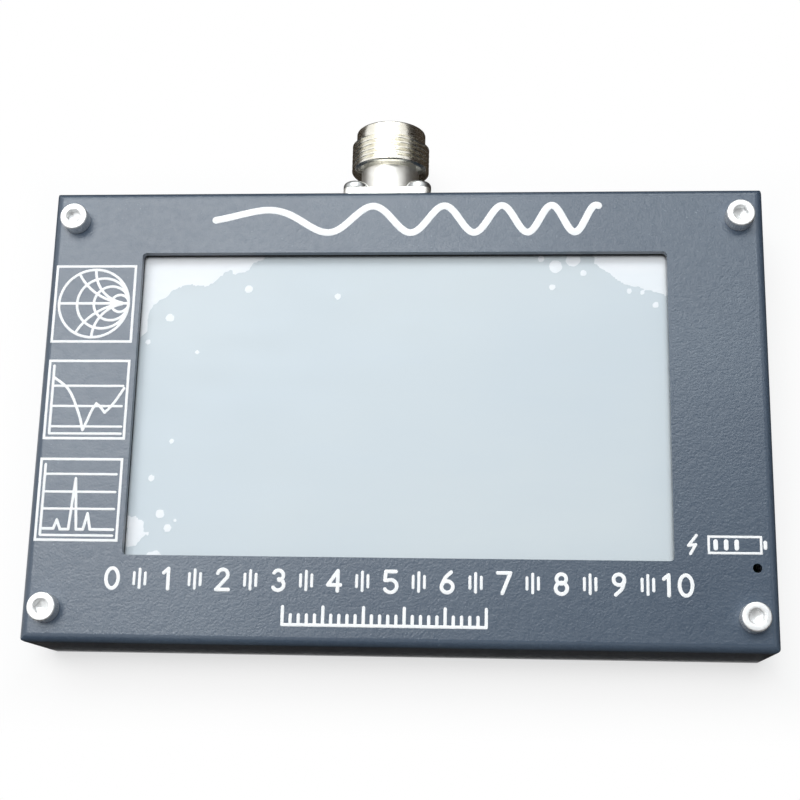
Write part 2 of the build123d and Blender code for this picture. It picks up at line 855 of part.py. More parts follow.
lever_x = switch_x - switch_travel / 2
stem_tip = case_height / 2 + stem_reach
with BuildPart() as power_switch_lever:
    with Locations((lever_x, slider_y, slider_z)):
        Box(slider_width, slider_length, slider_height)
        Box(
            stem_width,
            stem_tip - slider_y,
            stem_height,
            align=(Align.CENTER, Align.MIN, Align.CENTER),
        )
    # grip grooves across the tip
    with Locations((lever_x, stem_tip, slider_z)):
        with GridLocations(stem_width / stem_ribs, 0, stem_ribs - 1, 1):
            Box(rib_depth, 2 * rib_depth, stem_height, mode=Mode.SUBTRACT)
keep(power_switch_lever, "power_switch_lever")

# ---------------------------------------------------------------- memory card and its socket
card_inner_end = card_x + card_length
with BuildPart() as memory_card:
    with BuildSketch(Plane.XY.offset(card_bottom)):
        with Locations((card_x, card_y)):
            Rectangle(card_length, card_width, align=(Align.MIN, Align.CENTER))
        with Locations((card_inner_end, card_y + card_width / 2)):
            Rectangle(card_length / 2, card_notch, align=(Align.MAX, Align.MAX), mode=Mode.SUBTRACT)
    extrude(amount=card_thickness)
    with Locations((card_x, card_y, card_bottom)):
        Box(
            card_lip_length,
            card_width,
            card_lip_thickness,
            align=(Align.MIN, Align.CENTER, Align.MIN),
        )
keep(memory_card, "memory_card")

card_channel = card_thickness + 2 * card_gap
card_socket_end = card_inner_end + card_push + card_gap + card_socket_side
with BuildPart() as card_socket:
    with Locations((card_socket_x, card_y, board_top)):
        Box(
            card_socket_end - card_socket_x,
            card_width + 2 * card_gap + 2 * card_socket_side,
            card_channel + 2 * card_socket_wall,
            align=(Align.MIN, Align.CENTER, Align.MIN),
        )
    with Locations((card_socket_x, card_y, board_top + card_socket_wall)):
        Box(
            card_socket_end - card_socket_side - card_socket_x,
            card_width + 2 * card_gap,
            card_channel,
            align=(Align.MIN, Align.CENTER, Align.MIN),
            mode=Mode.SUBTRACT,
        )
keep(card_socket, "card_socket")

# ---------------------------------------------------------------- USB socket
usb_plane = Plane((usb_front, usb_y, usb_z), (0, 1, 0), (1, 0, 0))
with BuildPart() as usb_socket:
    with BuildSketch(usb_plane) as shell_outline:
        Rectangle(usb_width, usb_height)
        chamfer(shell_outline.vertices().group_by(Axis.Y)[0], usb_step)
    extrude(amount=-usb_length)
    with BuildSketch(usb_plane) as mouth_outline:
        Rectangle(usb_width - 2 * usb_shell, usb_height - 2 * usb_shell)
        chamfer(mouth_outline.vertices().group_by(Axis.Y)[0], usb_step)
    extrude(amount=usb_shell - usb_length, mode=Mode.SUBTRACT)
keep(usb_socket, "usb_socket")

with BuildPart() as usb_tongue:
    with Locations((usb_front - usb_length + usb_shell, usb_y, usb_z)):
        Box(
            usb_tongue_length,
            usb_tongue_width,
            usb_tongue_thickness,
            align=(Align.MIN, Align.CENTER, Align.CENTER),
        )
keep(usb_tongue, "usb_tongue")

# ---------------------------------------------------------------- battery
with BuildPart() as battery_tape:
    with Locations((battery_x, battery_y, sheet)):
        Box(tape_width, tape_height, tape_thickness, align=ON_TOP)
keep(battery_tape, "battery_tape")

with BuildPart() as battery:
    with Locations((battery_x, battery_y, battery_bottom)):
        Box(battery_width, battery_height, battery_thickness, align=ON_TOP)
    fillet(battery.edges(), battery_round)
    with Locations((battery_end - battery_round, battery_y, lead_start_z)):
        Box(
            terrace_length + battery_round,
            battery_height - 2 * terrace_inset,
            terrace_thickness,
            align=(Align.MIN, Align.CENTER, Align.CENTER),
        )
keep(battery, "battery")

with BuildPart() as battery_connector:
    with Locations((battery_socket_x, battery_socket_y, board_bottom)):
        Box(battery_socket_length, battery_socket_width, battery_socket_height, align=UNDER)
    with Locations((battery_socket_front, battery_socket_y, lead_end_z)):
        Box(
            battery_socket_length - battery_socket_wall,
            battery_socket_width - 2 * battery_socket_wall,
            battery_socket_height - 2 * battery_socket_wall,
            align=(Align.MIN, Align.CENTER, Align.CENTER),
            mode=Mode.SUBTRACT,
        )
keep(battery_connector, "battery_connector")

with BuildPart() as battery_plug:
    with Locations((battery_socket_front + plug_depth, battery_socket_y, lead_end_z)):
        Box(
            plug_length,
            battery_socket_width - 2 * battery_socket_wall - 2 * plug_gap,
            battery_socket_height - 2 * battery_socket_wall - 2 * plug_gap,
            align=(Align.MAX, Align.CENTER, Align.CENTER),
        )
keep(battery_plug, "battery_plug")

battery_lead_red = battery_lead(lead_pitch / 2, battery_end + lead_bend_x + lead_pitch / 2)
keep(battery_lead_red, "battery_lead_red")

battery_lead_black = battery_lead(-lead_pitch / 2, battery_end + lead_bend_x - lead_pitch / 2)
keep(battery_lead_black, "battery_lead_black")

# ---------------------------------------------------------------- shield can and the chips inside it
with BuildPart(board_face) as shield_can:
    with Locations((can_x, can_y)):
        Box(can_width, can_height, can_depth, align=ON_TOP)
        Box(
            can_width - 2 * can_wall,
            can_height - 2 * can_wall,
            can_depth - can_wall,
            align=ON_TOP,
            mode=Mode.SUBTRACT,
        )
    with BuildSketch(board_face):
        with Locations((can_x, can_y)):
            with GridLocations(can_vent_pitch, can_vent_pitch, can_vent_columns, can_vent_rows):
                Circle(can_vent_radius)
    extrude(amount=can_depth, mode=Mode.SUBTRACT)
keep(shield_can, "shield_can")

clock_generator = chips(clock_package, (can_x + clock_offset_x, can_y))
keep(clock_generator, "clock_generator")

mixer_chips = chips(
    mixer_package,
    (can_x + mixer_offset_x, can_y + mixer_offset_y),
    (can_x + mixer_offset_x, can_y - mixer_offset_y),
)
keep(mixer_chips, "mixer_chips")

bridge_resistors = chips(
    resistor_package, *row_of(bridge_count, can_x + bridge_offset_x, can_y, 0, bridge_pitch)
)
keep(bridge_resistors, "bridge_resistors")

# ---------------------------------------------------------------- open board parts
with BuildPart(board_face) as microcontroller:
    with Locations((mcu_x, mcu_y, mcu_standing)):
        Box(mcu_size, mcu_size, mcu_height, align=ON_TOP)
    reach = mcu_size + 2 * mcu_leg_reach
    with Locations((mcu_x, mcu_y)):
        with GridLocations(mcu_leg_pitch, 0, mcu_legs, 1):
            Box(mcu_leg_width, reach, mcu_standing + leg_thickness, align=ON_TOP)
        with GridLocations(0, mcu_leg_pitch, 1, mcu_legs):
            Box(reach, mcu_leg_width, mcu_standing + leg_thickness, align=ON_TOP)
keep(microcontroller, "microcontroller")

memory_chip = chips(memory_package, memory_place)
keep(memory_chip, "memory_chip")

flash_chip = chips(flash_package, flash_place)
keep(flash_chip, "flash_chip")

codec_chip = chips(codec_package, codec_place)
keep(codec_chip, "codec_chip")

crystal = chips(crystal_package, crystal_place)
keep(crystal, "crystal")

voltage_regulator = chips(regulator_package, regulator_place)
keep(voltage_regulator, "voltage_regulator")

charger_chip = chips(charger_package, charger_place)
keep(charger_chip, "charger_chip")

power_inductors = chips(inductor_package, *row_of(2, inductor_x, inductor_y, 0, inductor_pitch))
keep(power_inductors, "power_inductors")

capacitors = chips(
    capacitor_package, *row_of(capacitor_count, capacitor_x, capacitor_y, capacitor_pitch, 0)
)
keep(capacitors, "capacitors")

charge_led = chips(led_package, (light_x, light_y))
keep(charge_led, "charge_led")
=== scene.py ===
import itertools
import math
import random

import bpy
from mathutils import Matrix, Vector, noise


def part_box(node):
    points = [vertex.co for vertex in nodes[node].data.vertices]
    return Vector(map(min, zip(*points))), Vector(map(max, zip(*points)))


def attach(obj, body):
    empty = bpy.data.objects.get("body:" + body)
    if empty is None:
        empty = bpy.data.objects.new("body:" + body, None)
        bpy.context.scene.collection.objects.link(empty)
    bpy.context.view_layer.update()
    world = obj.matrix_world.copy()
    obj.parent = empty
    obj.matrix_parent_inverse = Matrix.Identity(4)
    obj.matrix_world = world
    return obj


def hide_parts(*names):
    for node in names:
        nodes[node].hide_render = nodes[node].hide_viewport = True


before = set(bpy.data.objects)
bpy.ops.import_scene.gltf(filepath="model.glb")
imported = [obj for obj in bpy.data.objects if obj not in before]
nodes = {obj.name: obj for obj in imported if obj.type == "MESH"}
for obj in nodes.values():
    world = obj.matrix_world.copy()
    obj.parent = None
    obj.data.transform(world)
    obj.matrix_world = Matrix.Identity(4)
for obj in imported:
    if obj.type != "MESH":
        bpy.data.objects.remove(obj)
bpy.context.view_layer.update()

# An antenna analyzer lying on its back. Lengths down to the floor and lamps are millimetres, and MM turns
# them into Blender's metres where a mesh or a node is made.
MM = 0.001
chance = random.Random(11)

CASE_WIDTH, CASE_HEIGHT, FACE_Z = 140.0, 89.6, 21.6
# The folded edge, where paint wears: how far in from the walls and below the face wear starts and is full.
FOLD_IN, FOLD_OUT, FOLD_UNDER, FOLD_TOP = 1.5, 0.4, 1.6, 0.5
# The film's top face where it lies on the glass, and how much higher it stands where it has lifted.
FILM_LAID, FILM_RISE = 18.34, 0.04


# ------------------------------------------------------------------------------------ materials
def tone(red, green, blue):
    """A display colour, 0 to 255, as the linear colour that Blender's sockets take."""
    linear = []
    for channel in (red, green, blue):
        share = channel / 255
        linear.append(share / 12.92 if share <= 0.04045 else ((share + 0.055) / 1.055) ** 2.4)
    return (*linear, 1.0)


def grey(level):
    return tone(level, level, level)


class Finish:
    """One procedural material: its shader and the nodes that feed it."""

    def __init__(self, name, **sockets):
        self.material = bpy.data.materials.new(name)
        self.material.use_nodes = True
        self.tree = self.material.node_tree
        self.shader = self.tree.nodes["Principled BSDF"]
        self.place = self.add("ShaderNodeTexCoord").outputs["Object"]
        for socket, value in sockets.items():
            self.shader.inputs[socket.replace("_", " ")].default_value = value

    def add(self, kind, **settings):
        node = self.tree.nodes.new(kind)
        for key, value in settings.items():
            setattr(node, key, value)
        return node

    def link(self, source, target):
        self.tree.links.new(source, target)

    def noise(self, size, detail=2.0, roughness=0.5, stretch=(1, 1, 1)):
        """A noise whose features are about size mm across, drawn out by stretch."""
        mapping = self.add("ShaderNodeMapping")
        mapping.inputs["Scale"].default_value = [1 / part for part in stretch]
        self.link(self.place, mapping.inputs["Vector"])
        cloud = self.add("ShaderNodeTexNoise")
        cloud.inputs["Scale"].default_value = 1 / (size * MM)
        cloud.inputs["Detail"].default_value = detail
        cloud.inputs["Roughness"].default_value = roughness
        self.link(mapping.outputs["Vector"], cloud.inputs["Vector"])
        return cloud.outputs["Fac"]

    def ramp(self, source, *stops):
        """A colour ramp over source, with stops of (position, colour)."""
        ramp = self.add("ShaderNodeValToRGB")
        elements = ramp.color_ramp.elements
        while len(elements) < len(stops):
            elements.new(0.5)
        for element, (position, colour) in zip(elements, stops):
            element.position = position
            element.color = colour
        self.link(source, ramp.inputs["Fac"])
        return ramp.outputs["Color"]

    def span(self, source, low, high, start=0.3, end=0.7):
        """Source between start and end, turned into low to high."""
        span = self.add("ShaderNodeMapRange")
        span.inputs["From Min"].default_value = start
        span.inputs["From Max"].default_value = end
        span.inputs["To Min"].default_value = low
        span.inputs["To Max"].default_value = high
        self.link(source, span.inputs["Value"])
        return span.outputs["Result"]

    def maths(self, operation, first, second=None):
        node = self.add("ShaderNodeMath", operation=operation)
        for socket, value in zip(node.inputs, (first, second)):
            if isinstance(value, (int, float)):
                socket.default_value = value
            elif value is not None:
                self.link(value, socket)
        return node.outputs["Value"]

    def mixed(self, factor, first, second):
        """First colour to second colour by factor. Either may be a colour or an output."""
        node = self.add("ShaderNodeMix", data_type="RGBA")
        self.link(factor, node.inputs["Factor"])
        for socket, value in ((node.inputs[6], first), (node.inputs[7], second)):
            if isinstance(value, tuple):
                socket.default_value = value
            else:
                self.link(value, socket)
        return node.outputs[2]

    def colour(self, source):
        self.link(source, self.shader.inputs["Base Color"])

    def rough(self, source, low, high, start=0.3, end=0.7):
        self.link(self.span(source, low, high, start, end), self.shader.inputs["Roughness"])

    def relief(self, *layers):
        """Bumps laid one on another, each given as (source, height in mm, strength)."""
        under = None
        for source, height, strength in layers:
            bump = self.add("ShaderNodeBump")
            bump.inputs["Distance"].default_value = height * MM
            bump.inputs["Strength"].default_value = strength
            self.link(source, bump.inputs["Height"])
            if under is not None:
                self.link(under, bump.inputs["Normal"])
            under = bump.outputs["Normal"]
        self.link(under, self.shader.inputs["Normal"])


def powder_coat(name, base, deep, pale):
    """Baked paint with orange peel, cloudy colour and specks of dust, worn paler along the folds."""
    paint = Finish(name, Specular_IOR_Level=0.7)
    cloudy = paint.ramp(paint.noise(26, 3), (0.3, deep), (0.7, base))
    split = paint.add("ShaderNodeSeparateXYZ")
    paint.link(paint.place, split.inputs["Vector"])

    def beyond(axis, half):
        return paint.span(paint.maths("ABSOLUTE", axis), 0, 1, (half - FOLD_IN) * MM, (half - FOLD_OUT) * MM)

    beyond_x = beyond(split.outputs["X"], CASE_WIDTH / 2)
    beyond_y = beyond(split.outputs["Y"], CASE_HEIGHT / 2)
    high = paint.span(split.outputs["Z"], 0, 1, (FACE_Z - FOLD_UNDER) * MM, (FACE_Z - FOLD_TOP) * MM)
    folds = paint.maths("MULTIPLY", paint.maths("MAXIMUM", beyond_x, beyond_y), high)
    patchy = paint.span(paint.noise(0.9, 4, 0.65), 0.0, 0.12, 0.46, 0.72)
    specks = paint.span(paint.noise(0.5, 1), 0, 0.6, 0.7, 0.77)
    dust = paint.maths("MULTIPLY", specks, paint.span(paint.noise(14, 2), 0, 1, 0.42, 0.58))
    worn = paint.maths("MAXIMUM", paint.maths("MULTIPLY", folds, patchy), dust)
    paint.colour(paint.mixed(worn, cloudy, pale))
    peel = paint.noise(1.1, 2.5, 0.6)
    paint.rough(peel, 0.28, 0.36)
    paint.relief((peel, 0.07, 0.65), (paint.noise(0.45, 2.0), 0.055, 0.8))
    return paint.material


def plain_metal(name, pale, deep, low, high, grain=(1, 1, 1), relief=0.006, metallic=1.0):
    """Bare or plated metal with cloudy brightness and fine tool marks drawn out by grain.

    A metallic below 1 stands for a dull plating that scatters part of the light.
    """
    metal = Finish(name, Metallic=metallic)
    metal.colour(metal.ramp(metal.noise(3.0, 4, 0.6), (0.3, deep), (0.62, pale)))
    marks = metal.noise(0.35, 3, 0.6, grain)
    metal.rough(marks, low, high)
    metal.relief((marks, relief, 0.5))
    return metal.material


def moulded(name, pale, deep, low, high, grain=0.5, relief=0.012, specular=0.45):
    """Moulded or filled plastic: slightly uneven colour and a fine even texture."""
    plastic = Finish(name, Specular_IOR_Level=specular)
    plastic.colour(plastic.ramp(plastic.noise(4.0, 3), (0.3, deep), (0.7, pale)))
    texture = plastic.noise(grain, 3, 0.6)
    plastic.rough(texture, low, high)
    plastic.relief((texture, relief, 0.6))
    return plastic.material


def circuit_board(name):
    """Green solder mask over faint copper runs."""
    board = Finish(name, Specular_IOR_Level=0.5)
    runs = board.add("ShaderNodeTexBrick")
    runs.inputs["Scale"].default_value = 190
    runs.inputs["Mortar Size"].default_value = 0.035
    runs.inputs["Color1"].default_value = tone(18, 82, 48)
    runs.inputs["Color2"].default_value = tone(22, 96, 56)
    runs.inputs["Mortar"].default_value = tone(40, 122, 74)
    board.link(board.place, runs.inputs["Vector"])
    board.colour(runs.outputs["Color"])
    fine = board.noise(0.6, 3)
    board.rough(fine, 0.26, 0.4)
    board.relief((runs.outputs["Fac"], 0.03, 0.4), (fine, 0.006, 0.4))
    return board.material


def film(name):
    """Milky protective film with faint rubbed streaks, whiter where it has lifted off the glass."""
    sheet = Finish(name, Specular_IOR_Level=0.35)
    drift = sheet.noise(60, 2, 0.45, (1.0, 0.8, 1.0))
    streaks = sheet.noise(5.0, 4, 0.6, (3.5, 1.0, 1.0))
    cloud = sheet.maths("ADD", sheet.maths("MULTIPLY", drift, 0.8), sheet.maths("MULTIPLY", streaks, 0.2))
    laid = sheet.ramp(cloud, (0.34, tone(200, 212, 220)), (0.66, tone(207, 217, 222)))
    lifted = sheet.ramp(streaks, (0.34, tone(233, 239, 244)), (0.66, tone(241, 245, 249)))
    split = sheet.add("ShaderNodeSeparateXYZ")
    sheet.link(sheet.place, split.inputs["Vector"])
    middle, blur = FILM_LAID + FILM_RISE / 2, 0.003
    away = sheet.span(split.outputs["Z"], 0, 1, (middle - blur) * MM, (middle + blur) * MM)
    sheet.colour(sheet.mixed(away, laid, lifted))
    sheet.rough(streaks, 0.32, 0.44)
    sheet.relief((drift, 0.05, 0.25), (streaks, 0.008, 0.3))
    return sheet.material


def ink(name):
    """White screen print, slightly uneven where the mesh of the screen laid it down."""
    print_ink = Finish(name, Specular_IOR_Level=0.4)
    thin, thick = tone(244, 248, 250), tone(253, 254, 255)
    print_ink.colour(print_ink.ramp(print_ink.noise(1.1, 3), (0.3, thin), (0.7, thick)))
    weave = print_ink.noise(0.16, 2)
    print_ink.rough(weave, 0.42, 0.58)
    print_ink.relief((weave, 0.01, 0.5))
    return print_ink.material


def clear_resin(name, tint):
    """A small clear lens."""
    lens = Finish(name, Transmission_Weight=0.7, IOR=1.5)
    lens.colour(lens.ramp(lens.noise(0.8, 2), (0.3, tint), (0.7, grey(235))))
    lens.rough(lens.noise(0.3, 2), 0.08, 0.2)
    lens.relief((lens.noise(0.4, 2), 0.005, 0.4))
    return lens.material


coat = powder_coat("powder_coat_slate", tone(74, 88, 104), tone(66, 80, 97), tone(120, 133, 145))
coat_back = powder_coat("powder_coat_slate_back", tone(71, 84, 99), tone(63, 76, 91), tone(115, 127, 138))
white_ink = ink("white_screen_print")
bright_steel = plain_metal(
    "bright_cap_screw_steel", tone(246, 247, 247), tone(228, 229, 230), 0.42, 0.52, metallic=0.75
)
dull_steel = plain_metal("zinc_plated_steel", tone(198, 200, 200), tone(166, 168, 170), 0.3, 0.46)
nickel = plain_metal(
    "brushed_nickel", tone(252, 250, 241), tone(238, 234, 220), 0.2, 0.3, (6.0, 0.6, 6.0), 0.0015
)
satin_nickel = plain_metal("satin_nickel", tone(250, 249, 245), tone(236, 234, 228), 0.4, 0.5)
tin = plain_metal("stamped_tinplate", tone(206, 206, 202), tone(176, 176, 172), 0.26, 0.4, (4.0, 1.0, 1.0))
gold = plain_metal("gold_plating", tone(232, 190, 104), tone(204, 158, 74), 0.18, 0.32)
brass = plain_metal("turned_brass", tone(206, 178, 112), tone(176, 146, 84), 0.26, 0.4, (1.0, 1.0, 0.3))
foil = plain_metal("battery_foil", tone(198, 202, 206), tone(164, 168, 174), 0.3, 0.46, (3.0, 1.0, 1.0), 0.02)
black_plastic = moulded("black_moulded_plastic", grey(34), grey(24), 0.42, 0.58)
white_plastic = moulded("ivory_moulded_plastic", tone(232, 228, 214), tone(214, 209, 194), 0.38, 0.52)
ptfe = moulded("waxy_white_insulator", tone(238, 238, 234), tone(220, 220, 215), 0.44, 0.6)
card_plastic = moulded("memory_card_plastic", tone(40, 42, 46), tone(27, 29, 33), 0.36, 0.5)
chip_resin = moulded("chip_moulding_resin", grey(40), grey(27), 0.5, 0.66, 0.25, 0.01)
ceramic = moulded("resistor_ceramic", tone(62, 64, 76), tone(36, 38, 48), 0.4, 0.54, 0.3)
tantalum = moulded("capacitor_resin", tone(206, 158, 62), tone(184, 134, 46), 0.4, 0.54, 0.3)
ferrite = moulded("ferrite", grey(74), grey(52), 0.55, 0.72, 0.25, 0.02)
foam = moulded("black_foam", grey(36), grey(20), 0.82, 0.95, 0.3, 0.08, 0.2)
polyimide = moulded("flat_cable_film", tone(196, 122, 42), tone(168, 98, 30), 0.3, 0.42, 0.8, 0.01)
red_sleeve = moulded("red_insulation", tone(190, 32, 30), tone(160, 24, 24), 0.4, 0.52)
black_sleeve = moulded("black_insulation", grey(32), grey(20), 0.4, 0.52)
glass = moulded("dark_touch_glass", tone(70, 76, 82), tone(56, 62, 68), 0.08, 0.16, 2.0, 0.004, 0.5)
light_guide = moulded("light_guide_plate", tone(232, 234, 236), tone(214, 217, 220), 0.2, 0.3, 1.0, 0.01)
milky_film = film("milky_film")
led_lens = clear_resin("charge_light_lens", tone(228, 96, 78))

finishes = {
    "front_cover": coat,
    "back_plate": coat_back,
    "case_screws": bright_steel,
    "back_screws": dull_steel,
    "lower_standoffs": brass,
    "upper_standoffs": brass,
    "main_board": circuit_board("green_circuit_board"),
    "screen_film": milky_film,
    "touch_panel": glass,
    "display_gasket": foam,
    "lcd_frame": tin,
    "backlight_unit": light_guide,
    "lcd_panel": glass,
    "lcd_support_pads": foam,
    "lcd_flex": polyimide,
    "touch_flex": polyimide,
    "lcd_flex_connector": white_plastic,
    "touch_flex_connector": white_plastic,
    "aerial_socket_body": nickel,
    "socket_insulator": ptfe,
    "socket_contact": gold,
    "socket_screws": dull_steel,
    "socket_nuts": dull_steel,
    "power_switch_frame": tin,
    "power_switch_lever": black_plastic,
    "memory_card": card_plastic,
    "card_socket": tin,
    "usb_socket": tin,
    "usb_tongue": black_plastic,
    "battery_tape": foam,
    "battery": foil,
    "battery_connector": white_plastic,
    "battery_plug": white_plastic,
    "battery_lead_red": red_sleeve,
    "battery_lead_black": black_sleeve,
    "shield_can": tin,
    "clock_generator": chip_resin,
    "mixer_chips": chip_resin,
    "bridge_resistors": ceramic,
    "microcontroller": chip_resin,
    "memory_chip": chip_resin,
    "flash_chip": chip_resin,
    "codec_chip": chip_resin,
    "crystal": tin,
    "voltage_regulator": chip_resin,
    "charger_chip": chip_resin,
    "power_inductors": ferrite,
    "capacitors": tantalum,
    "charge_led": led_lens,
}
for name, node in nodes.items():
    node.data.materials.clear()
    node.data.materials.append(finishes[name])
    node.data.shade_smooth()
    node.data.set_sharp_from_angle(angle=math.radians(28))


# ------------------------------------------------------------------------------------ mesh making
def make_piece(name, corners, faces, materials, slot, body="case", smooth_angle=35):
    """A mesh piece from corners in mm, riding on a CAD body. Edges past smooth_angle stay sharp."""
    mesh = bpy.data.meshes.new(name)
    mesh.from_pydata([[part * MM for part in corner] for corner in corners], [], faces)
    for material in materials:
        mesh.materials.append(material)
    mesh.validate()
    mesh.shade_smooth()
    mesh.set_sharp_from_angle(angle=math.radians(smooth_angle))
    piece = bpy.data.objects.new(name, mesh)
    bpy.context.collection.objects.link(piece)
    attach(piece, body)
    return piece


def skin(rings, count):
    """Faces between rings of count corners each, laid one after another."""
    faces = []
    for low in range(0, (rings - 1) * count, count):
        for step in range(count):
            after = (step + 1) % count
            faces.append((low + step, low + after, low + count + after, low + count + step))
    return faces


def turned(rows, count):
    """A turned form about Z from rows of (radius, height); a radius may depend on angle and height."""
    corners = []
    for radius, height in rows:
        for step in range(count):
            angle = 2 * math.pi * step / count
            reach = radius(angle, height) if callable(radius) else radius
            corners.append((reach * math.cos(angle), reach * math.sin(angle), height))
    return corners, skin(len(rows), count)


def joined(*forms):
    """Several lists of corners and faces as one."""
    corners, faces = [], []
    for some_corners, some_faces in forms:
        start = len(corners)
        corners.extend(some_corners)
        faces.extend([tuple(start + corner for corner in face) for face in some_faces])
    return corners, faces


def moved(form, matrix):
    corners, faces = form
    return [tuple(matrix @ Vector(corner)) for corner in corners], faces


# ------------------------------------------------------------------------------------ printed marks
# Each stroke is up to INK_STAGGER higher than INK_HEIGHT, so that no two that cross lie in one plane.
INK_HEIGHT, INK_STAGGER, GOLDEN = 0.05, 0.04, 0.618
END_STEPS = 5
strokes_laid = itertools.count()


def stroke(points, width, closed=False):
    """A low domed ribbon of ink along points on the face, with round ends unless it is closed."""
    top = INK_HEIGHT + INK_STAGGER * (GOLDEN * next(strokes_laid) % 1)
    path = [Vector(point) for point in points]
    if closed:
        neighbours = zip(path, path[-1:] + path, path[1:] + path[:1])
        steps = [(here, before, after, 1.0) for here, before, after in neighbours]
    else:
        steps = []
        begin = (path[0] - path[1]).normalized()
        finish = (path[-1] - path[-2]).normalized()
        for turn in range(END_STEPS):
            swing = math.radians(90 - 90 * turn / END_STEPS)
            along = path[0] + begin * width / 2 * math.sin(swing)
            steps.append((along, along + begin, along - begin, max(math.cos(swing), 0.02)))
        steps.append((path[0], path[0] + begin, path[1], 1.0))
        for index in range(1, len(path) - 1):
            steps.append((path[index], path[index - 1], path[index + 1], 1.0))
        steps.append((path[-1], path[-2], path[-1] + finish, 1.0))
        for turn in range(1, END_STEPS + 1):
            swing = math.radians(90 * turn / END_STEPS)
            along = path[-1] + finish * width / 2 * math.sin(swing)
            steps.append((along, along - finish, along + finish, max(math.cos(swing), 0.02)))
    profile = ((-1.0, -0.3), (-0.97, 0.55), (-0.72, 1.0), (0.72, 1.0), (0.97, 0.55), (1.0, -0.3))
    corners, faces = [], []
    for here, before, after, share in steps:
        arriving = (here - before).normalized()
        leaving = (after - here).normalized()
        middle = arriving + leaving
        middle = arriving if middle.length < 1e-6 else middle.normalized()
        side = Vector((-middle.y, middle.x))
        spread = 1 / max(middle.dot(arriving), 0.45)
        for across, up in profile:
            at = here + side * across * share * spread * width / 2
            corners.append((at.x, at.y, FACE_Z + up * top))
    rings = len(steps)
    for ring in range(rings if closed else rings - 1):
        after = (ring + 1) % rings
        for edge in range(len(profile) - 1):
            first, second = ring * len(profile) + edge, after * len(profile) + edge
            faces.append((first, second, second + 1, first + 1))
    return corners, faces


def line(points, width):
    """Ink along points, laid as a new ribbon after each sharp corner."""
    path = [Vector(point) for point in points]
    runs = [[path[0]]]
    for before, here, after in zip(path, path[1:], path[2:]):
        runs[-1].append(here)
        if (here - before).angle(after - here) > math.radians(70):
            runs.append([here])
    runs[-1].append(path[-1])
    return joined(*(stroke(run, width) for run in runs))


def smooth_line(points, parts=6):
    """A smooth curve through points."""
    path = [Vector(point) for point in points]
    path = [2 * path[0] - path[1]] + path + [2 * path[-1] - path[-2]]
    curve = []
    for index in range(1, len(path) - 2):
        first, second, third, fourth = path[index - 1 : index + 3]
        for part in range(parts):
            share = part / parts
            curve.append(
                0.5
                * (
                    2 * second
                    + (third - first) * share
                    + (2 * first - 5 * second + 4 * third - fourth) * share**2
                    + (3 * second - first - 3 * third + fourth) * share**3
                )
            )
    curve.append(path[-2])
    return curve


def arc(centre, radius, start, end, parts=24, squash=1.0):
    """Points on an arc, angles in degrees counted from +X towards +Y."""
    points = []
    for part in range(parts + 1):
        angle = math.radians(start + (end - start) * part / parts)
        points.append((centre[0] + radius * math.cos(angle), centre[1] + radius * squash * math.sin(angle)))
    return points


def circle(centre, radius, parts=64):
    return arc(centre, radius, 0, 360 - 360 / parts, parts - 1)


class Panel:
    """A printed square on the face. Its u runs right and its v runs down, both 0 to 1."""

    def __init__(self, left, bottom, right, top):
        self.left, self.bottom, self.right, self.top = left, bottom, right, top
        self.side = right - left

    def at(self, u, v):
        return (self.left + u * (self.right - self.left), self.top - v * (self.top - self.bottom))

    def spots(self, *pairs):
        """Several places on the square, each given as (u, v)."""
        return [self.at(*pair) for pair in pairs]

    def border(self):
        return self.spots((0, 0), (1, 0), (1, 1), (0, 1))


# Line widths of the three charts: their curves and axes, their borders, and their level lines.
FINE, BORDER, LEVEL = 0.54, 0.51, 0.47


def smith_chart(panel):
    """A square with a Smith chart: resistance circles and reactance arcs inside a unit circle."""
    middle, radius = panel.at(0.497, 0.496), 0.443 * panel.side
    strokes = [stroke(panel.border(), BORDER, True), stroke(circle(middle, radius), FINE, True)]
    strokes.append(stroke([(middle[0] - radius, middle[1]), (middle[0] + radius, middle[1])], FINE))
    for resistance in (0.35, 1.0, 3.0):
        shift = resistance / (1 + resistance)
        strokes.append(
            stroke(circle((middle[0] + radius * shift, middle[1]), radius / (1 + resistance)), FINE, True)
        )
    for reactance in (0.6, 1.0, -0.6, -1.0):
        points = []
        for part in range(22):
            resistance = math.tan(math.radians(84 * part / 21))
            wave = (complex(resistance, reactance) - 1) / (complex(resistance, reactance) + 1)
            points.append((middle[0] + radius * wave.real, middle[1] + radius * wave.imag))
        strokes.append(stroke(points, FINE))
    return joined(*strokes)


def ratio_chart(panel):
    """A square with axes, level lines and a standing-wave curve that dips twice."""
    falling = smooth_line(
        panel.spots(
            (0.07, 0.22), (0.17, 0.29), (0.25, 0.36), (0.32, 0.47), (0.37, 0.58), (0.43, 0.73), (0.476, 0.895)
        )
    )
    rising = smooth_line(panel.spots((0.476, 0.895), (0.53, 0.76), (0.575, 0.64), (0.625, 0.552)))
    second = smooth_line(panel.spots((0.625, 0.552), (0.68, 0.60), (0.737, 0.67)))
    last = smooth_line(panel.spots((0.737, 0.67), (0.80, 0.605), (0.88, 0.49), (0.96, 0.357)))
    strokes = [stroke(panel.border(), BORDER, True)]
    strokes.append(stroke(panel.spots((0.058, 0.065), (0.061, 0.937)), FINE))
    for level, end in ((0.326, 0.946), (0.587, 0.946), (0.85, 0.958), (0.94, 0.958)):
        strokes.append(stroke(panel.spots((0.06, level), (end, level)), LEVEL))
    strokes.append(line(falling + rising[1:] + second[1:] + last[1:], FINE))
    return joined(*strokes)


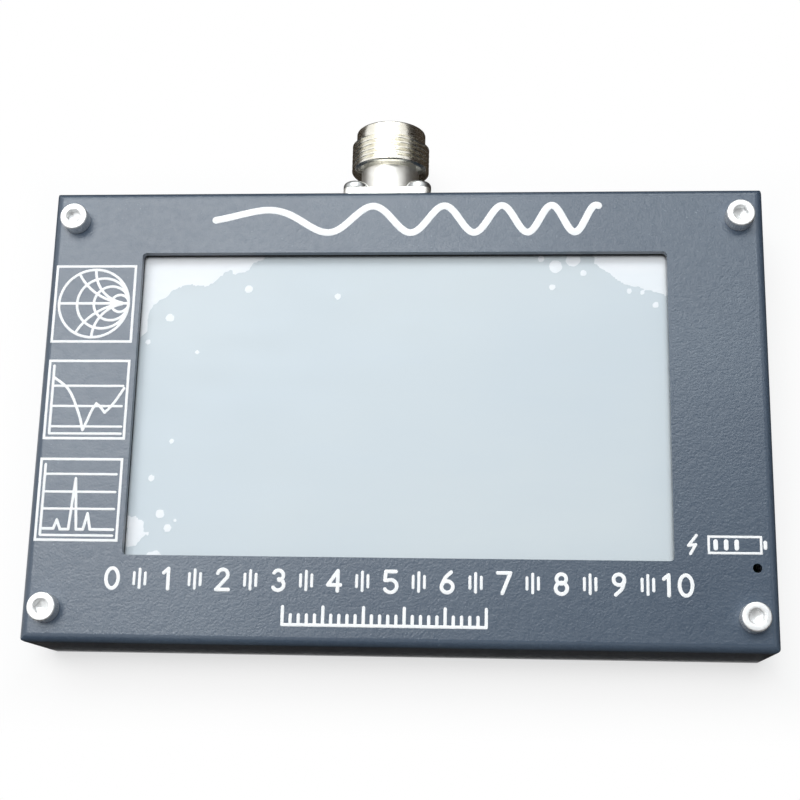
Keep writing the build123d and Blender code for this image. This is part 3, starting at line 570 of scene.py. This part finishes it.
def spectrum_chart(panel):
    """A square with axes, level lines and a spectrum of one high peak between two low ones."""
    trace = panel.spots(
        (0.074, 0.862), (0.215, 0.862), (0.25, 0.753), (0.297, 0.869), (0.40, 0.869), (0.446, 0.242),
        (0.495, 0.869), (0.58, 0.869), (0.624, 0.675), (0.666, 0.869), (0.949, 0.869),
    )
    strokes = [stroke(panel.border(), BORDER, True)]
    strokes.append(stroke(panel.spots((0.057, 0.069), (0.056, 0.934)), FINE))
    for level in (0.187, 0.407, 0.618, 0.943):
        strokes.append(stroke(panel.spots((0.06, level), (0.945, level)), LEVEL))
    strokes.append(line(trace, FINE))
    return joined(*strokes)


# Each chart's square on the face: left, bottom, right, top.
icons = (
    ("print_smith_chart", smith_chart, (-68.45, 13.44, -52.70, 28.98)),
    ("print_ratio_chart", ratio_chart, (-68.35, -6.00, -52.70, 9.48)),
    ("print_spectrum_chart", spectrum_chart, (-68.40, -25.73, -52.72, -10.11)),
)
for name, draw, edges in icons:
    make_piece(name, *draw(Panel(*edges)), [white_ink], slot="powder_coat")


def sweep_wave(left, right, middle, height, width):
    """A swept wave that gets quicker to the right."""
    parts, steady_turns, added_turns = 320, 1.4, 3.9
    points = []
    for part in range(parts + 1):
        share = part / parts
        phase = 2 * math.pi * (steady_turns * share + added_turns * share**2)
        fade = min(1.0, 0.55 + 1.4 * share)
        points.append((left + (right - left) * share, middle + height * fade * math.sin(phase)))
    return stroke(points, width)


wave = sweep_wave(left=-37.2, right=38.3, middle=38.65, height=2.8, width=1.45)
make_piece("print_sweep_wave", *wave, [white_ink], slot="powder_coat")

NUMERAL_SHARE, NUMERAL_GAP, NUMERAL_LINE = 0.62, 0.95, 0.7


def numeral(figure, left, bottom, height, width):
    """One figure, drawn in strokes inside a box NUMERAL_SHARE of its height wide."""
    across = NUMERAL_SHARE * height
    half = across / 2

    def spots(*pairs):
        return [(left + u * across, bottom + v * height) for u, v in pairs]

    upper = (left + half, bottom + 0.74 * height)
    lower = (left + half, bottom + 0.28 * height)
    shapes = {
        "0": [(arc((left + half, bottom + height / 2), half, 0, 352, 40, height / across), True)],
        "1": [(spots((0.2, 0.8), (0.58, 1.0), (0.58, 0.0)), False)],
        "2": [(arc(upper, 0.26 * height, 165, -40, 14) + spots((0.0, 0.0), (1.0, 0.0)), False)],
        "3": [
            (arc(upper, 0.25 * height, 150, -80, 14), False),
            (arc(lower, 0.28 * height, 85, -150, 16), False),
        ],
        "4": [(spots((0.78, 0.0), (0.78, 1.0), (0.0, 0.3), (1.0, 0.3)), False)],
        "5": [
            (spots((0.92, 1.0), (0.12, 1.0), (0.06, 0.56)) + arc(lower, 0.31 * height, 115, -150, 18), False),
        ],
        "6": [
            (circle(lower, 0.28 * height, 28), True),
            (smooth_line(spots((0.8, 1.0), (0.35, 0.72), (0.08, 0.36)), 5), False),
        ],
        "7": [(spots((0.0, 1.0), (1.0, 1.0), (0.36, 0.0)), False)],
        "8": [(circle(upper, 0.235 * height, 26), True), (circle(lower, 0.28 * height, 28), True)],
        "9": [
            (circle(upper, 0.26 * height, 28), True),
            (smooth_line(spots((0.92, 0.66), (0.7, 0.28), (0.24, 0.0)), 5), False),
        ],
    }
    return joined(
        *(stroke(points, width, True) if closed else line(points, width) for points, closed in shapes[figure])
    )


def number_scale(left, right, bottom, height, last):
    """The numbers 0 to last in a row, with short dashes between them."""
    strokes = []
    step = (right - left) / last
    for value in range(last + 1):
        figures = str(value)
        pitch = NUMERAL_SHARE * height + NUMERAL_GAP
        start = left + step * value - (pitch * len(figures) - NUMERAL_GAP) / 2
        for place, figure in enumerate(figures):
            strokes.append(numeral(figure, start + place * pitch, bottom, height, NUMERAL_LINE))
        if value < last:
            for share in (0.4, 0.5, 0.6):
                x = left + step * (value + share)
                tall = 0.46 if share == 0.5 else 0.28
                strokes.append(
                    stroke([(x, bottom + height * (0.5 - tall)), (x, bottom + height * (0.5 + tall))], 0.55)
                )
    return joined(*strokes)


numbers = number_scale(left=-53.0, right=51.6, bottom=-34.7, height=3.75, last=10)
make_piece("print_number_scale", *numbers, [white_ink], slot="powder_coat")


def tick_scale(left, right, bottom, top, gaps):
    """A ruler: a base line with long and short ticks."""
    strokes = [stroke([(left, bottom), (right, bottom)], 0.6)]
    for mark in range(gaps + 1):
        x = left + (right - left) * mark / gaps
        rise = 1.0 if mark % 5 == 0 else 0.55
        strokes.append(stroke([(x, bottom), (x, bottom + (top - bottom) * rise)], 0.62))
    return joined(*strokes)


ticks = tick_scale(left=-20.6, right=17.0, bottom=-41.0, top=-37.7, gaps=25)
make_piece("print_tick_scale", *ticks, [white_ink], slot="powder_coat")


def charge_mark(left, bottom, right, top):
    """A bolt and a part-filled battery."""
    tall = top - bottom
    x = left + 0.9
    bolt = [(x + 1.5, top), (x, bottom + 0.44 * tall), (x + 1.35, bottom + 0.5 * tall), (x + 0.35, bottom)]
    strokes = [line(bolt, 0.55)]
    start, end = left + 4.6, right - 1.5
    outline = [(start, bottom + 0.2), (end, bottom + 0.2), (end, top - 0.2), (start, top - 0.2)]
    strokes.append(stroke(outline, 0.45, True))
    strokes.append(stroke([(end + 0.75, bottom + 1.2), (end + 0.75, top - 1.2)], 0.7))
    for bar in range(3):
        x = start + 1.25 + bar * 1.9
        strokes.append(stroke([(x, bottom + 1.1), (x, top - 1.1)], 0.85))
    return joined(*strokes)


charge = charge_mark(left=52.95, bottom=-27.0, right=68.5, top=-23.6)
make_piece("print_charge_mark", *charge, [white_ink], slot="powder_coat")

# ------------------------------------------------------------------------------------ cap screws
HEAD_RADIUS, HEAD_HEIGHT, KEY_WIDTH, KEY_DEPTH = 2.75, 3.0, 2.5, 1.5
SHANK_RADIUS, SHANK_LENGTH, SHANK_CHAMFER = 1.5, 8.0, 0.3
KNURLS, KNURL_DEPTH, MOUTH_RADIUS = 36, 0.045, 1.36
RIM_RADIUS, RIM_ROUND = 2.36, 0.34
SCREW_X, SCREW_Y = 65.3, 38.6


def knurled(angle, height):
    """The head's side: fine straight knurls."""
    return HEAD_RADIUS - KNURL_DEPTH + KNURL_DEPTH * math.cos(KNURLS * angle)


def key_wall(angle, height):
    """The flats of the hexagon socket."""
    within = (angle + math.pi / 6) % (math.pi / 3) - math.pi / 6
    return KEY_WIDTH / 2 / math.cos(within)


def key_mouth(angle, height):
    """The round chamfer at the socket's mouth, no narrower than the hexagon."""
    return max(key_wall(angle, height), MOUTH_RADIUS)


def cap_screw():
    """A cap screw from the end of its shank, over the head, to the bottom of its hexagon socket."""
    rows = [(0.0, -SHANK_LENGTH), (SHANK_RADIUS - SHANK_CHAMFER, -SHANK_LENGTH)]
    rows += [(SHANK_RADIUS, SHANK_CHAMFER - SHANK_LENGTH), (SHANK_RADIUS, 0.0), (2.6, 0.0), (2.72, 0.12)]
    rows += [(knurled, 0.3), (knurled, 1.2), (knurled, 2.3), (2.7, 2.45)]
    for part in range(6):
        swing = math.radians(15 + 75 * part / 5)
        height = HEAD_HEIGHT - RIM_ROUND + RIM_ROUND * math.sin(swing)
        rows.append((RIM_RADIUS + RIM_ROUND * math.cos(swing), height))
    rows += [(1.9, HEAD_HEIGHT), (1.62, HEAD_HEIGHT), (1.56, 2.985), (key_mouth, 2.86), (key_wall, 2.78)]
    rows += [(key_wall, 2.2), (key_wall, HEAD_HEIGHT - KEY_DEPTH), (0.6, 1.3), (0.0, 1.15)]
    return turned(rows, 144)


screws = []
for x in (-SCREW_X, SCREW_X):
    for y in (-SCREW_Y, SCREW_Y):
        turn = Matrix.Rotation(chance.uniform(0, math.pi / 3), 4, "Z")
        screws.append(moved(cap_screw(), Matrix.Translation((x, y, FACE_Z)) @ turn))
case_screws = make_piece("cap_screws_detailed", *joined(*screws), [bright_steel], slot="cap_screw_steel")
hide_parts("case_screws")

# ------------------------------------------------------------------------------------ aerial socket
SOCKET_X, SOCKET_Z, SOCKET_WALL = -3.6, 10.75, CASE_HEIGHT / 2
# The thread is 5/8-24. Heights here are counted outwards from the case's wall, and depths inwards.
THREAD_RADIUS, THREAD_PITCH, THREAD_DEPTH, THREAD_HALF_ANGLE = 7.94, 25.4 / 24, 0.6, 30
NECK_END, THREAD_START, THREAD_END, SOCKET_REACH = 7.8, 8.5, 13.79, 16.89
BACK_RADIUS, BACK_DEPTH, BACK_CHAMFER = 5.0, 2.0, 0.15
NECK_RADIUS, NOSE_RADIUS, BORE_RADIUS, CONTACT_HOLE_RADIUS = 5.9, 7.1, 4.2, 2.6
FLANGE_SIDE, FLANGE_THICKNESS, FLANGE_CORNER = 17.5, 1.8, 1.5
FLANGE_MIDDLE_SIDE, FLANGE_MIDDLE_CORNER = 9.0, 4.4


def thread_wall(angle, height):
    """One helical V groove, running out at the collar."""
    turn = (height - THREAD_START) / THREAD_PITCH - angle / (2 * math.pi)
    off = abs(turn % 1.0 - 0.5) * THREAD_PITCH
    groove = max(0.0, 1 - off / (THREAD_DEPTH * math.tan(math.radians(THREAD_HALF_ANGLE))))
    run_out = min(1.0, max(0.0, (height - THREAD_START) / (0.6 * THREAD_PITCH)))
    return THREAD_RADIUS - THREAD_DEPTH * groove * run_out


def rounded_square(side, corner, parts=8):
    """The outline of a square with round corners."""
    points = []
    reach = side / 2 - corner
    for quarter, (x, y) in enumerate(((reach, reach), (-reach, reach), (-reach, -reach), (reach, -reach))):
        points += arc((x, y), corner, 90 * quarter, 90 * quarter + 90, parts)
    return points


def flange():
    """The square flange, its outer edges rounded and its middle left open under the neck."""
    # The rounded edge: how much narrower than the whole flange it is at each height.
    edge = [(0.2, 0.0), (0.0, 0.1), (0.0, FLANGE_THICKNESS - 0.2), (0.08, FLANGE_THICKNESS - 0.08)]
    edge.append((0.3, FLANGE_THICKNESS))
    rings = [(FLANGE_SIDE - narrower, FLANGE_CORNER, height) for narrower, height in edge]
    rings.append((FLANGE_MIDDLE_SIDE, FLANGE_MIDDLE_CORNER, FLANGE_THICKNESS))
    corners = []
    for side, corner, height in rings:
        corners += [(x, y, height) for x, y in rounded_square(side, corner)]
    return corners, skin(len(rings), len(corners) // len(rings))


def socket_shell():
    """The socket's body from its back end, over the neck, thread and nose, and back down its bore."""
    rows = [(CONTACT_HOLE_RADIUS, -BACK_DEPTH), (BACK_RADIUS - BACK_CHAMFER, -BACK_DEPTH)]
    rows += [(BACK_RADIUS, BACK_CHAMFER - BACK_DEPTH), (BACK_RADIUS, 1.0)]
    rows += [(6.35, FLANGE_THICKNESS), (6.05, 1.88), (5.92, 2.06)]
    rows += [(NECK_RADIUS, 2.3), (NECK_RADIUS, 5.0), (NECK_RADIUS, 7.6), (5.95, 7.84), (6.1, 7.9)]
    rows += [(7.36, 7.9), (7.44, 7.92), (7.9, 8.36), (THREAD_RADIUS, 8.43)]
    samples = 96
    for part in range(samples + 1):
        rows.append((thread_wall, THREAD_START + (THREAD_END - THREAD_START) * part / samples))
    rows += [(7.5, 13.8), (7.16, 13.82), (NOSE_RADIUS, 13.88), (NOSE_RADIUS, 15.2)]
    rows.append((NOSE_RADIUS, SOCKET_REACH - 0.35))
    rows += [(7.03, SOCKET_REACH - 0.17), (6.88, SOCKET_REACH - 0.04), (6.7, SOCKET_REACH)]
    rows += [(5.6, SOCKET_REACH), (4.55, SOCKET_REACH), (4.45, SOCKET_REACH - 0.06)]
    rows.append((BORE_RADIUS, SOCKET_REACH - 0.3))
    rows += [(BORE_RADIUS, 12.0), (BORE_RADIUS, 7.0), (BORE_RADIUS, 0.0)]
    rows += [(CONTACT_HOLE_RADIUS, 0.0), (CONTACT_HOLE_RADIUS, -BACK_DEPTH)]
    return turned(rows, 160)


towards_y = Matrix(((-1, 0, 0, 0), (0, 0, 1, 0), (0, 1, 0, 0), (0, 0, 0, 1)))
socket_place = Matrix.Translation((SOCKET_X, SOCKET_WALL, SOCKET_Z)) @ towards_y
socket_form = moved(joined(socket_shell(), flange()), socket_place)
socket = make_piece(
    "aerial_socket_threaded", *socket_form, [nickel, satin_nickel], slot="nickel_plate", smooth_angle=40
)
for face in socket.data.polygons:
    if face.center.y < (SOCKET_WALL + NECK_END) * MM:
        face.material_index = 1
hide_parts("aerial_socket_body")

# ------------------------------------------------------------------------------------ screen film
# Where the film has come away from the glass: outlines on the face, and round bubbles as x, y and radius.
lifted_edges = (
    (
        (-53.0, 34.6), (-27.4, 34.6), (-27.8, 31.6), (-29.8, 31.0), (-30.7, 29.3), (-33.3, 28.3),
        (-34.3, 29.3), (-35.7, 28.7), (-38.6, 25.8), (-41.4, 26.0), (-42.2, 26.4), (-45.0, 25.4),
        (-47.7, 23.3), (-49.6, 22.0), (-50.3, 20.3), (-50.4, 18.3), (-50.4, 16.2), (-53.0, 14.9),
    ),
    (
        (36.4, 34.6), (53.0, 34.6), (53.0, 23.2), (51.7, 23.8), (48.4, 25.0), (43.1, 26.2), (40.8, 28.1),
        (37.9, 30.4),
    ),
    (
        (-51.9, -20.4), (-50.4, -20.6), (-49.0, -21.2), (-48.2, -22.6), (-48.4, -24.4), (-49.4, -25.9),
        (-50.9, -26.5), (-51.9, -26.2),
    ),
)
bubbles = (
    (-46.0, 19.3, 0.75), (-30.5, 25.3, 0.65), (-12.7, 23.8, 0.5), (-40.2, 12.3, 0.4), (-50.1, 14.3, 0.45),
    (27.2, 31.5, 0.6), (30.0, 29.9, 1.1), (33.4, 31.3, 1.2), (35.4, 28.5, 0.5), (29.3, 25.6, 0.5),
    (44.2, 24.8, 0.45), (46.7, 24.5, 0.35), (49.3, 21.9, 0.5), (-45.5, -20.0, 0.75), (-43.9, -22.7, 0.65),
    (-42.5, -21.2, 0.3), (-47.7, -23.8, 0.28), (-44.1, -5.7, 0.4), (-47.7, -13.0, 0.5), (-45.9, -28.1, 0.85),
    (-46.9, -28.1, 0.6),
)
# A box round each outline, so that inside() is only asked near it.
lifted_boxes = []
for outline in lifted_edges:
    across, up = zip(*outline)
    lifted_boxes.append((min(across) - 1, min(up) - 1, max(across) + 1, max(up) + 1))

LIFT_SLOPE, FILM_WAVE, FILM_COLUMNS, FILM_ROWS = 0.5, 0.008, 280, 170


def inside(outline, x, y):
    """How far a place is inside an outline, in mm; negative outside it."""
    place = Vector((x, y))
    within, nearest = False, math.inf
    for (x1, y1), (x2, y2) in zip(outline, outline[1:] + outline[:1]):
        if (y1 > y) != (y2 > y) and x < x1 + (y - y1) * (x2 - x1) / (y2 - y1):
            within = not within
        along = Vector((x2 - x1, y2 - y1))
        share = min(1.0, max(0.0, (place - Vector((x1, y1))).dot(along) / along.length_squared))
        nearest = min(nearest, (place - Vector((x1, y1)) - share * along).length)
    return nearest if within else -nearest


def lift(x, y):
    """How far up the film stands at a place, 0 laid down to 1 lifted, with a ragged border."""
    shake = 0.35 * noise.noise(Vector((x * 0.9, y * 0.9, 5.0)))
    shake += 0.2 * noise.noise(Vector((x * 2.6, y * 2.6, 8.0)))
    deepest = -1.0
    for outline, (left, bottom, right, top) in zip(lifted_edges, lifted_boxes):
        if left < x < right and bottom < y < top:
            deepest = max(deepest, inside(outline, x, y) + shake)
    for bubble_x, bubble_y, reach in bubbles:
        if abs(x - bubble_x) < 2 and abs(y - bubble_y) < 2:
            deepest = max(deepest, 1.2 * reach - math.hypot(x - bubble_x, y - bubble_y) + 0.4 * shake)
    share = min(1.0, max(0.0, 0.5 + deepest / LIFT_SLOPE))
    return share * share * (3 - 2 * share)


def film_sheet(left, right, bottom, top, across, up):
    """The film itself, not quite flat."""
    corners, faces = [], []
    for row in range(up + 1):
        for column in range(across + 1):
            x, y = left + column * (right - left) / across, bottom + row * (top - bottom) / up
            ripple = FILM_WAVE * noise.noise(Vector((x * 0.1, y * 0.14, 0.0)))
            corners.append((x, y, FILM_LAID + ripple + FILM_RISE * lift(x, y)))
    for row in range(up):
        for column in range(across):
            first = row * (across + 1) + column
            faces.append((first, first + 1, first + across + 2, first + across + 1))
    return corners, faces


film_low, film_high = (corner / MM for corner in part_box("screen_film"))
sheet = film_sheet(film_low.x, film_high.x, film_low.y, film_high.y, FILM_COLUMNS, FILM_ROWS)
screen_film = make_piece("protective_film", *sheet, [milky_film], slot="protective_film", smooth_angle=70)
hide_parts("screen_film")

# ------------------------------------------------------------------------------------ floor, light, camera
# From here on, places and sizes are metres unless MM is beside them, and lamps are in watts.
SKY_ON_OBJECT, FLOOR_SIDE, FLOOR_LEVEL = 0.17, 6.0, -0.02 * MM
SHADOW_NEAR, SHADOW_REACH = 0.62, 0.016
background = bpy.context.scene.world or bpy.data.worlds.new("studio")
bpy.context.scene.world = background
background.use_nodes = True
sky = background.node_tree
sky_shader = sky.nodes["Background"]
sky_shader.inputs["Color"].default_value = (1.0, 1.0, 1.0, 1.0)


def seen_directly(tree):
    """1 for camera, glossy and transmission rays, which see the white background."""
    path = tree.nodes.new("ShaderNodeLightPath")
    first = tree.nodes.new("ShaderNodeMath")
    first.operation = "MAXIMUM"
    tree.links.new(path.outputs["Is Camera Ray"], first.inputs[0])
    tree.links.new(path.outputs["Is Glossy Ray"], first.inputs[1])
    second = tree.nodes.new("ShaderNodeMath")
    second.operation = "MAXIMUM"
    tree.links.new(first.outputs["Value"], second.inputs[0])
    tree.links.new(path.outputs["Is Transmission Ray"], second.inputs[1])
    return second.outputs["Value"]


sky_level = sky.nodes.new("ShaderNodeMapRange")
sky_level.inputs["To Min"].default_value = SKY_ON_OBJECT
sky_level.inputs["To Max"].default_value = 1.0
sky.links.new(seen_directly(sky), sky_level.inputs["Value"])
sky.links.new(sky_level.outputs["Result"], sky_shader.inputs["Strength"])


def make_floor():
    """A pale floor that keeps the object's shadow, runs out into white and hides nothing from below."""
    mesh = bpy.data.meshes.new("floor")
    corners = [(x * FLOOR_SIDE, y * FLOOR_SIDE, FLOOR_LEVEL) for x, y in ((-1, -1), (1, -1), (1, 1), (-1, 1))]
    mesh.from_pydata(corners, [], [(0, 1, 2, 3)])
    floor = bpy.data.objects.new("floor", mesh)
    bpy.context.collection.objects.link(floor)
    pale = Finish("pale_floor", Specular_IOR_Level=0.1, Roughness=0.9)
    direct = seen_directly(pale.tree)
    tint = pale.ramp(pale.noise(40, 3), (0.3, grey(246)), (0.7, grey(250)))
    pale.colour(pale.mixed(direct, grey(96), tint))
    white = pale.add("ShaderNodeEmission")
    white.inputs["Color"].default_value = (1.0, 1.0, 1.0, 1.0)
    split = pale.add("ShaderNodeSeparateXYZ")
    pale.link(pale.place, split.inputs["Vector"])
    off_x = pale.maths("SUBTRACT", pale.maths("ABSOLUTE", split.outputs["X"]), CASE_WIDTH / 2 * MM)
    off_y = pale.maths("SUBTRACT", pale.maths("ABSOLUTE", split.outputs["Y"]), CASE_HEIGHT / 2 * MM)
    far = pale.span(pale.maths("MAXIMUM", off_x, off_y), SHADOW_NEAR, 1, 0.0, SHADOW_REACH)
    blend = pale.add("ShaderNodeMixShader")
    pale.link(pale.maths("MULTIPLY", far, direct), blend.inputs[0])
    pale.link(pale.shader.outputs["BSDF"], blend.inputs[1])
    pale.link(white.outputs["Emission"], blend.inputs[2])
    one_sided = pale.add("ShaderNodeMixShader")
    pale.link(pale.add("ShaderNodeNewGeometry").outputs["Backfacing"], one_sided.inputs[0])
    pale.link(blend.outputs["Shader"], one_sided.inputs[1])
    pale.link(pale.add("ShaderNodeBsdfTransparent").outputs["BSDF"], one_sided.inputs[2])
    pale.link(one_sided.outputs["Shader"], pale.tree.nodes["Material Output"].inputs["Surface"])
    mesh.materials.append(pale.material)


make_floor()


def area_lamp(name, at, towards, size, watts, colour=(1.0, 1.0, 1.0), diffuse=True, glossy=True):
    """A rectangular lamp aimed at a place. Diffuse and glossy say which rays see it."""
    lamp = bpy.data.lights.new(name, "AREA")
    lamp.shape = "RECTANGLE"
    lamp.size, lamp.size_y = size
    lamp.energy = watts
    lamp.color = colour
    holder = bpy.data.objects.new(name, lamp)
    bpy.context.collection.objects.link(holder)
    holder.location = at
    holder.rotation_euler = (Vector(towards) - Vector(at)).to_track_quat("-Z", "Y").to_euler()
    holder.visible_diffuse = diffuse
    holder.visible_glossy = glossy


# The window sheen stands a little off the window light: in one place their reflections don't add up.
WINDOW_SIZE, WINDOW_AIM, SHEEN_COLOUR = (0.56, 0.44), (-0.01, 0.01, 0), (0.96, 1.0, 0.98)
area_lamp("window_light", (-0.26, 0.33, 0.82), WINDOW_AIM, WINDOW_SIZE, 2.6, (0.98, 0.99, 1.0))
area_lamp("window_sheen", (-0.264, 0.335, 0.833), WINDOW_AIM, WINDOW_SIZE, 1.3, SHEEN_COLOUR, diffuse=False)
area_lamp(
    "low_sheen", (-0.38, 0.05, 0.82), (-0.05, -0.02, 0), (0.22, 0.16), 0.26, SHEEN_COLOUR, diffuse=False
)
area_lamp("window_foot", (-0.1, 0.66, 0.5), (0, 0, 0), (0.8, 0.3), 2.4, SHEEN_COLOUR, diffuse=False)
area_lamp("back_window", (0.17, 0.36, 0.84), (0.05, 0.03, 0), (0.3, 0.24), 0.75, (0.86, 0.95, 1.0))
area_lamp("soft_fill", (0.02, 0.03, 0.93), (0, 0, 0), (0.3, 0.26), 4.4, glossy=False)


def dark_card(name, corners, deep=tone(50, 44, 38), pale=tone(66, 58, 50)):
    """A dark studio card that only reflections see."""
    mesh = bpy.data.meshes.new(name)
    mesh.from_pydata(corners, [], [(0, 1, 2, 3)])
    card = bpy.data.objects.new(name, mesh)
    bpy.context.collection.objects.link(card)
    cloth = Finish(name, Roughness=1.0, Specular_IOR_Level=0.0)
    cloth.colour(cloth.ramp(cloth.noise(60, 2), (0.3, deep), (0.7, pale)))
    mesh.materials.append(cloth.material)
    card.visible_camera = False
    card.visible_diffuse = False
    card.visible_transmission = False
    card.visible_shadow = False


def upright_card(name, start, end, start_top, end_top):
    dark_card(name, [(*start, 0.0), (*end, 0.0), (*end, end_top), (*start, start_top)])


def floor_card(name, left, bottom, right, top):
    places = ((left, bottom), (right, bottom), (right, top), (left, top))
    dark_card(name, [(x, y, 0.2 * MM) for x, y in places])


upright_card("dark_card_right", (0.4, -0.3), (0.4, 0.8), 0.26, 0.26)
upright_card("dark_card_front", (-0.6, -0.32), (0.6, -0.32), 0.2, 0.55)
upright_card("dark_card_back", (0.4, 0.8), (-0.6, 0.8), 0.24, 0.24)
floor_card("dark_floor_back", -0.4, 0.0452, 0.4, 0.8)
floor_card("dark_floor_front", -0.6, -0.32, 0.6, -0.0452)
floor_card("dark_floor_side", 0.0703, -0.0455, 0.4, 0.06)
dark_card(
    "grey_card_above", [(-0.12, -0.5, 0.95), (0.8, -0.5, 0.95), (0.8, 0.34, 0.95), (-0.12, 0.12, 0.95)],
    grey(126), grey(140),
)

# The camera as solved from the photograph: its focal length in pixels of the frame, its place in mm,
# and the directions in which it looks and in which the picture's right side lies.
FRAME_PIXELS, FOCAL_PIXELS, SENSOR_WIDTH = 800, 1458.43, 36.0
CAMERA_PLACE, CAMERA_LOOKING, CAMERA_RIGHT = (
    (20.49, -68.48, 289.78), (-0.0727, 0.253, -0.9647), (0.9973, 0.0223, -0.0693)
)
camera = bpy.data.cameras.new("camera")
camera.sensor_width = SENSOR_WIDTH
camera.lens = FOCAL_PIXELS / FRAME_PIXELS * SENSOR_WIDTH
camera.clip_start = 0.01
holder = bpy.data.objects.new("camera", camera)
bpy.context.collection.objects.link(holder)
looking = Vector(CAMERA_LOOKING).normalized()
rightwards = Vector(CAMERA_RIGHT)
rightwards = (rightwards - rightwards.dot(looking) * looking).normalized()
upwards = rightwards.cross(looking)
holder.matrix_world = Matrix.Translation(Vector(CAMERA_PLACE) * MM) @ Matrix(
    (rightwards, upwards, -looking)
).transposed().to_4x4()
bpy.context.scene.camera = holder
bpy.context.scene.view_settings.view_transform = "Standard"
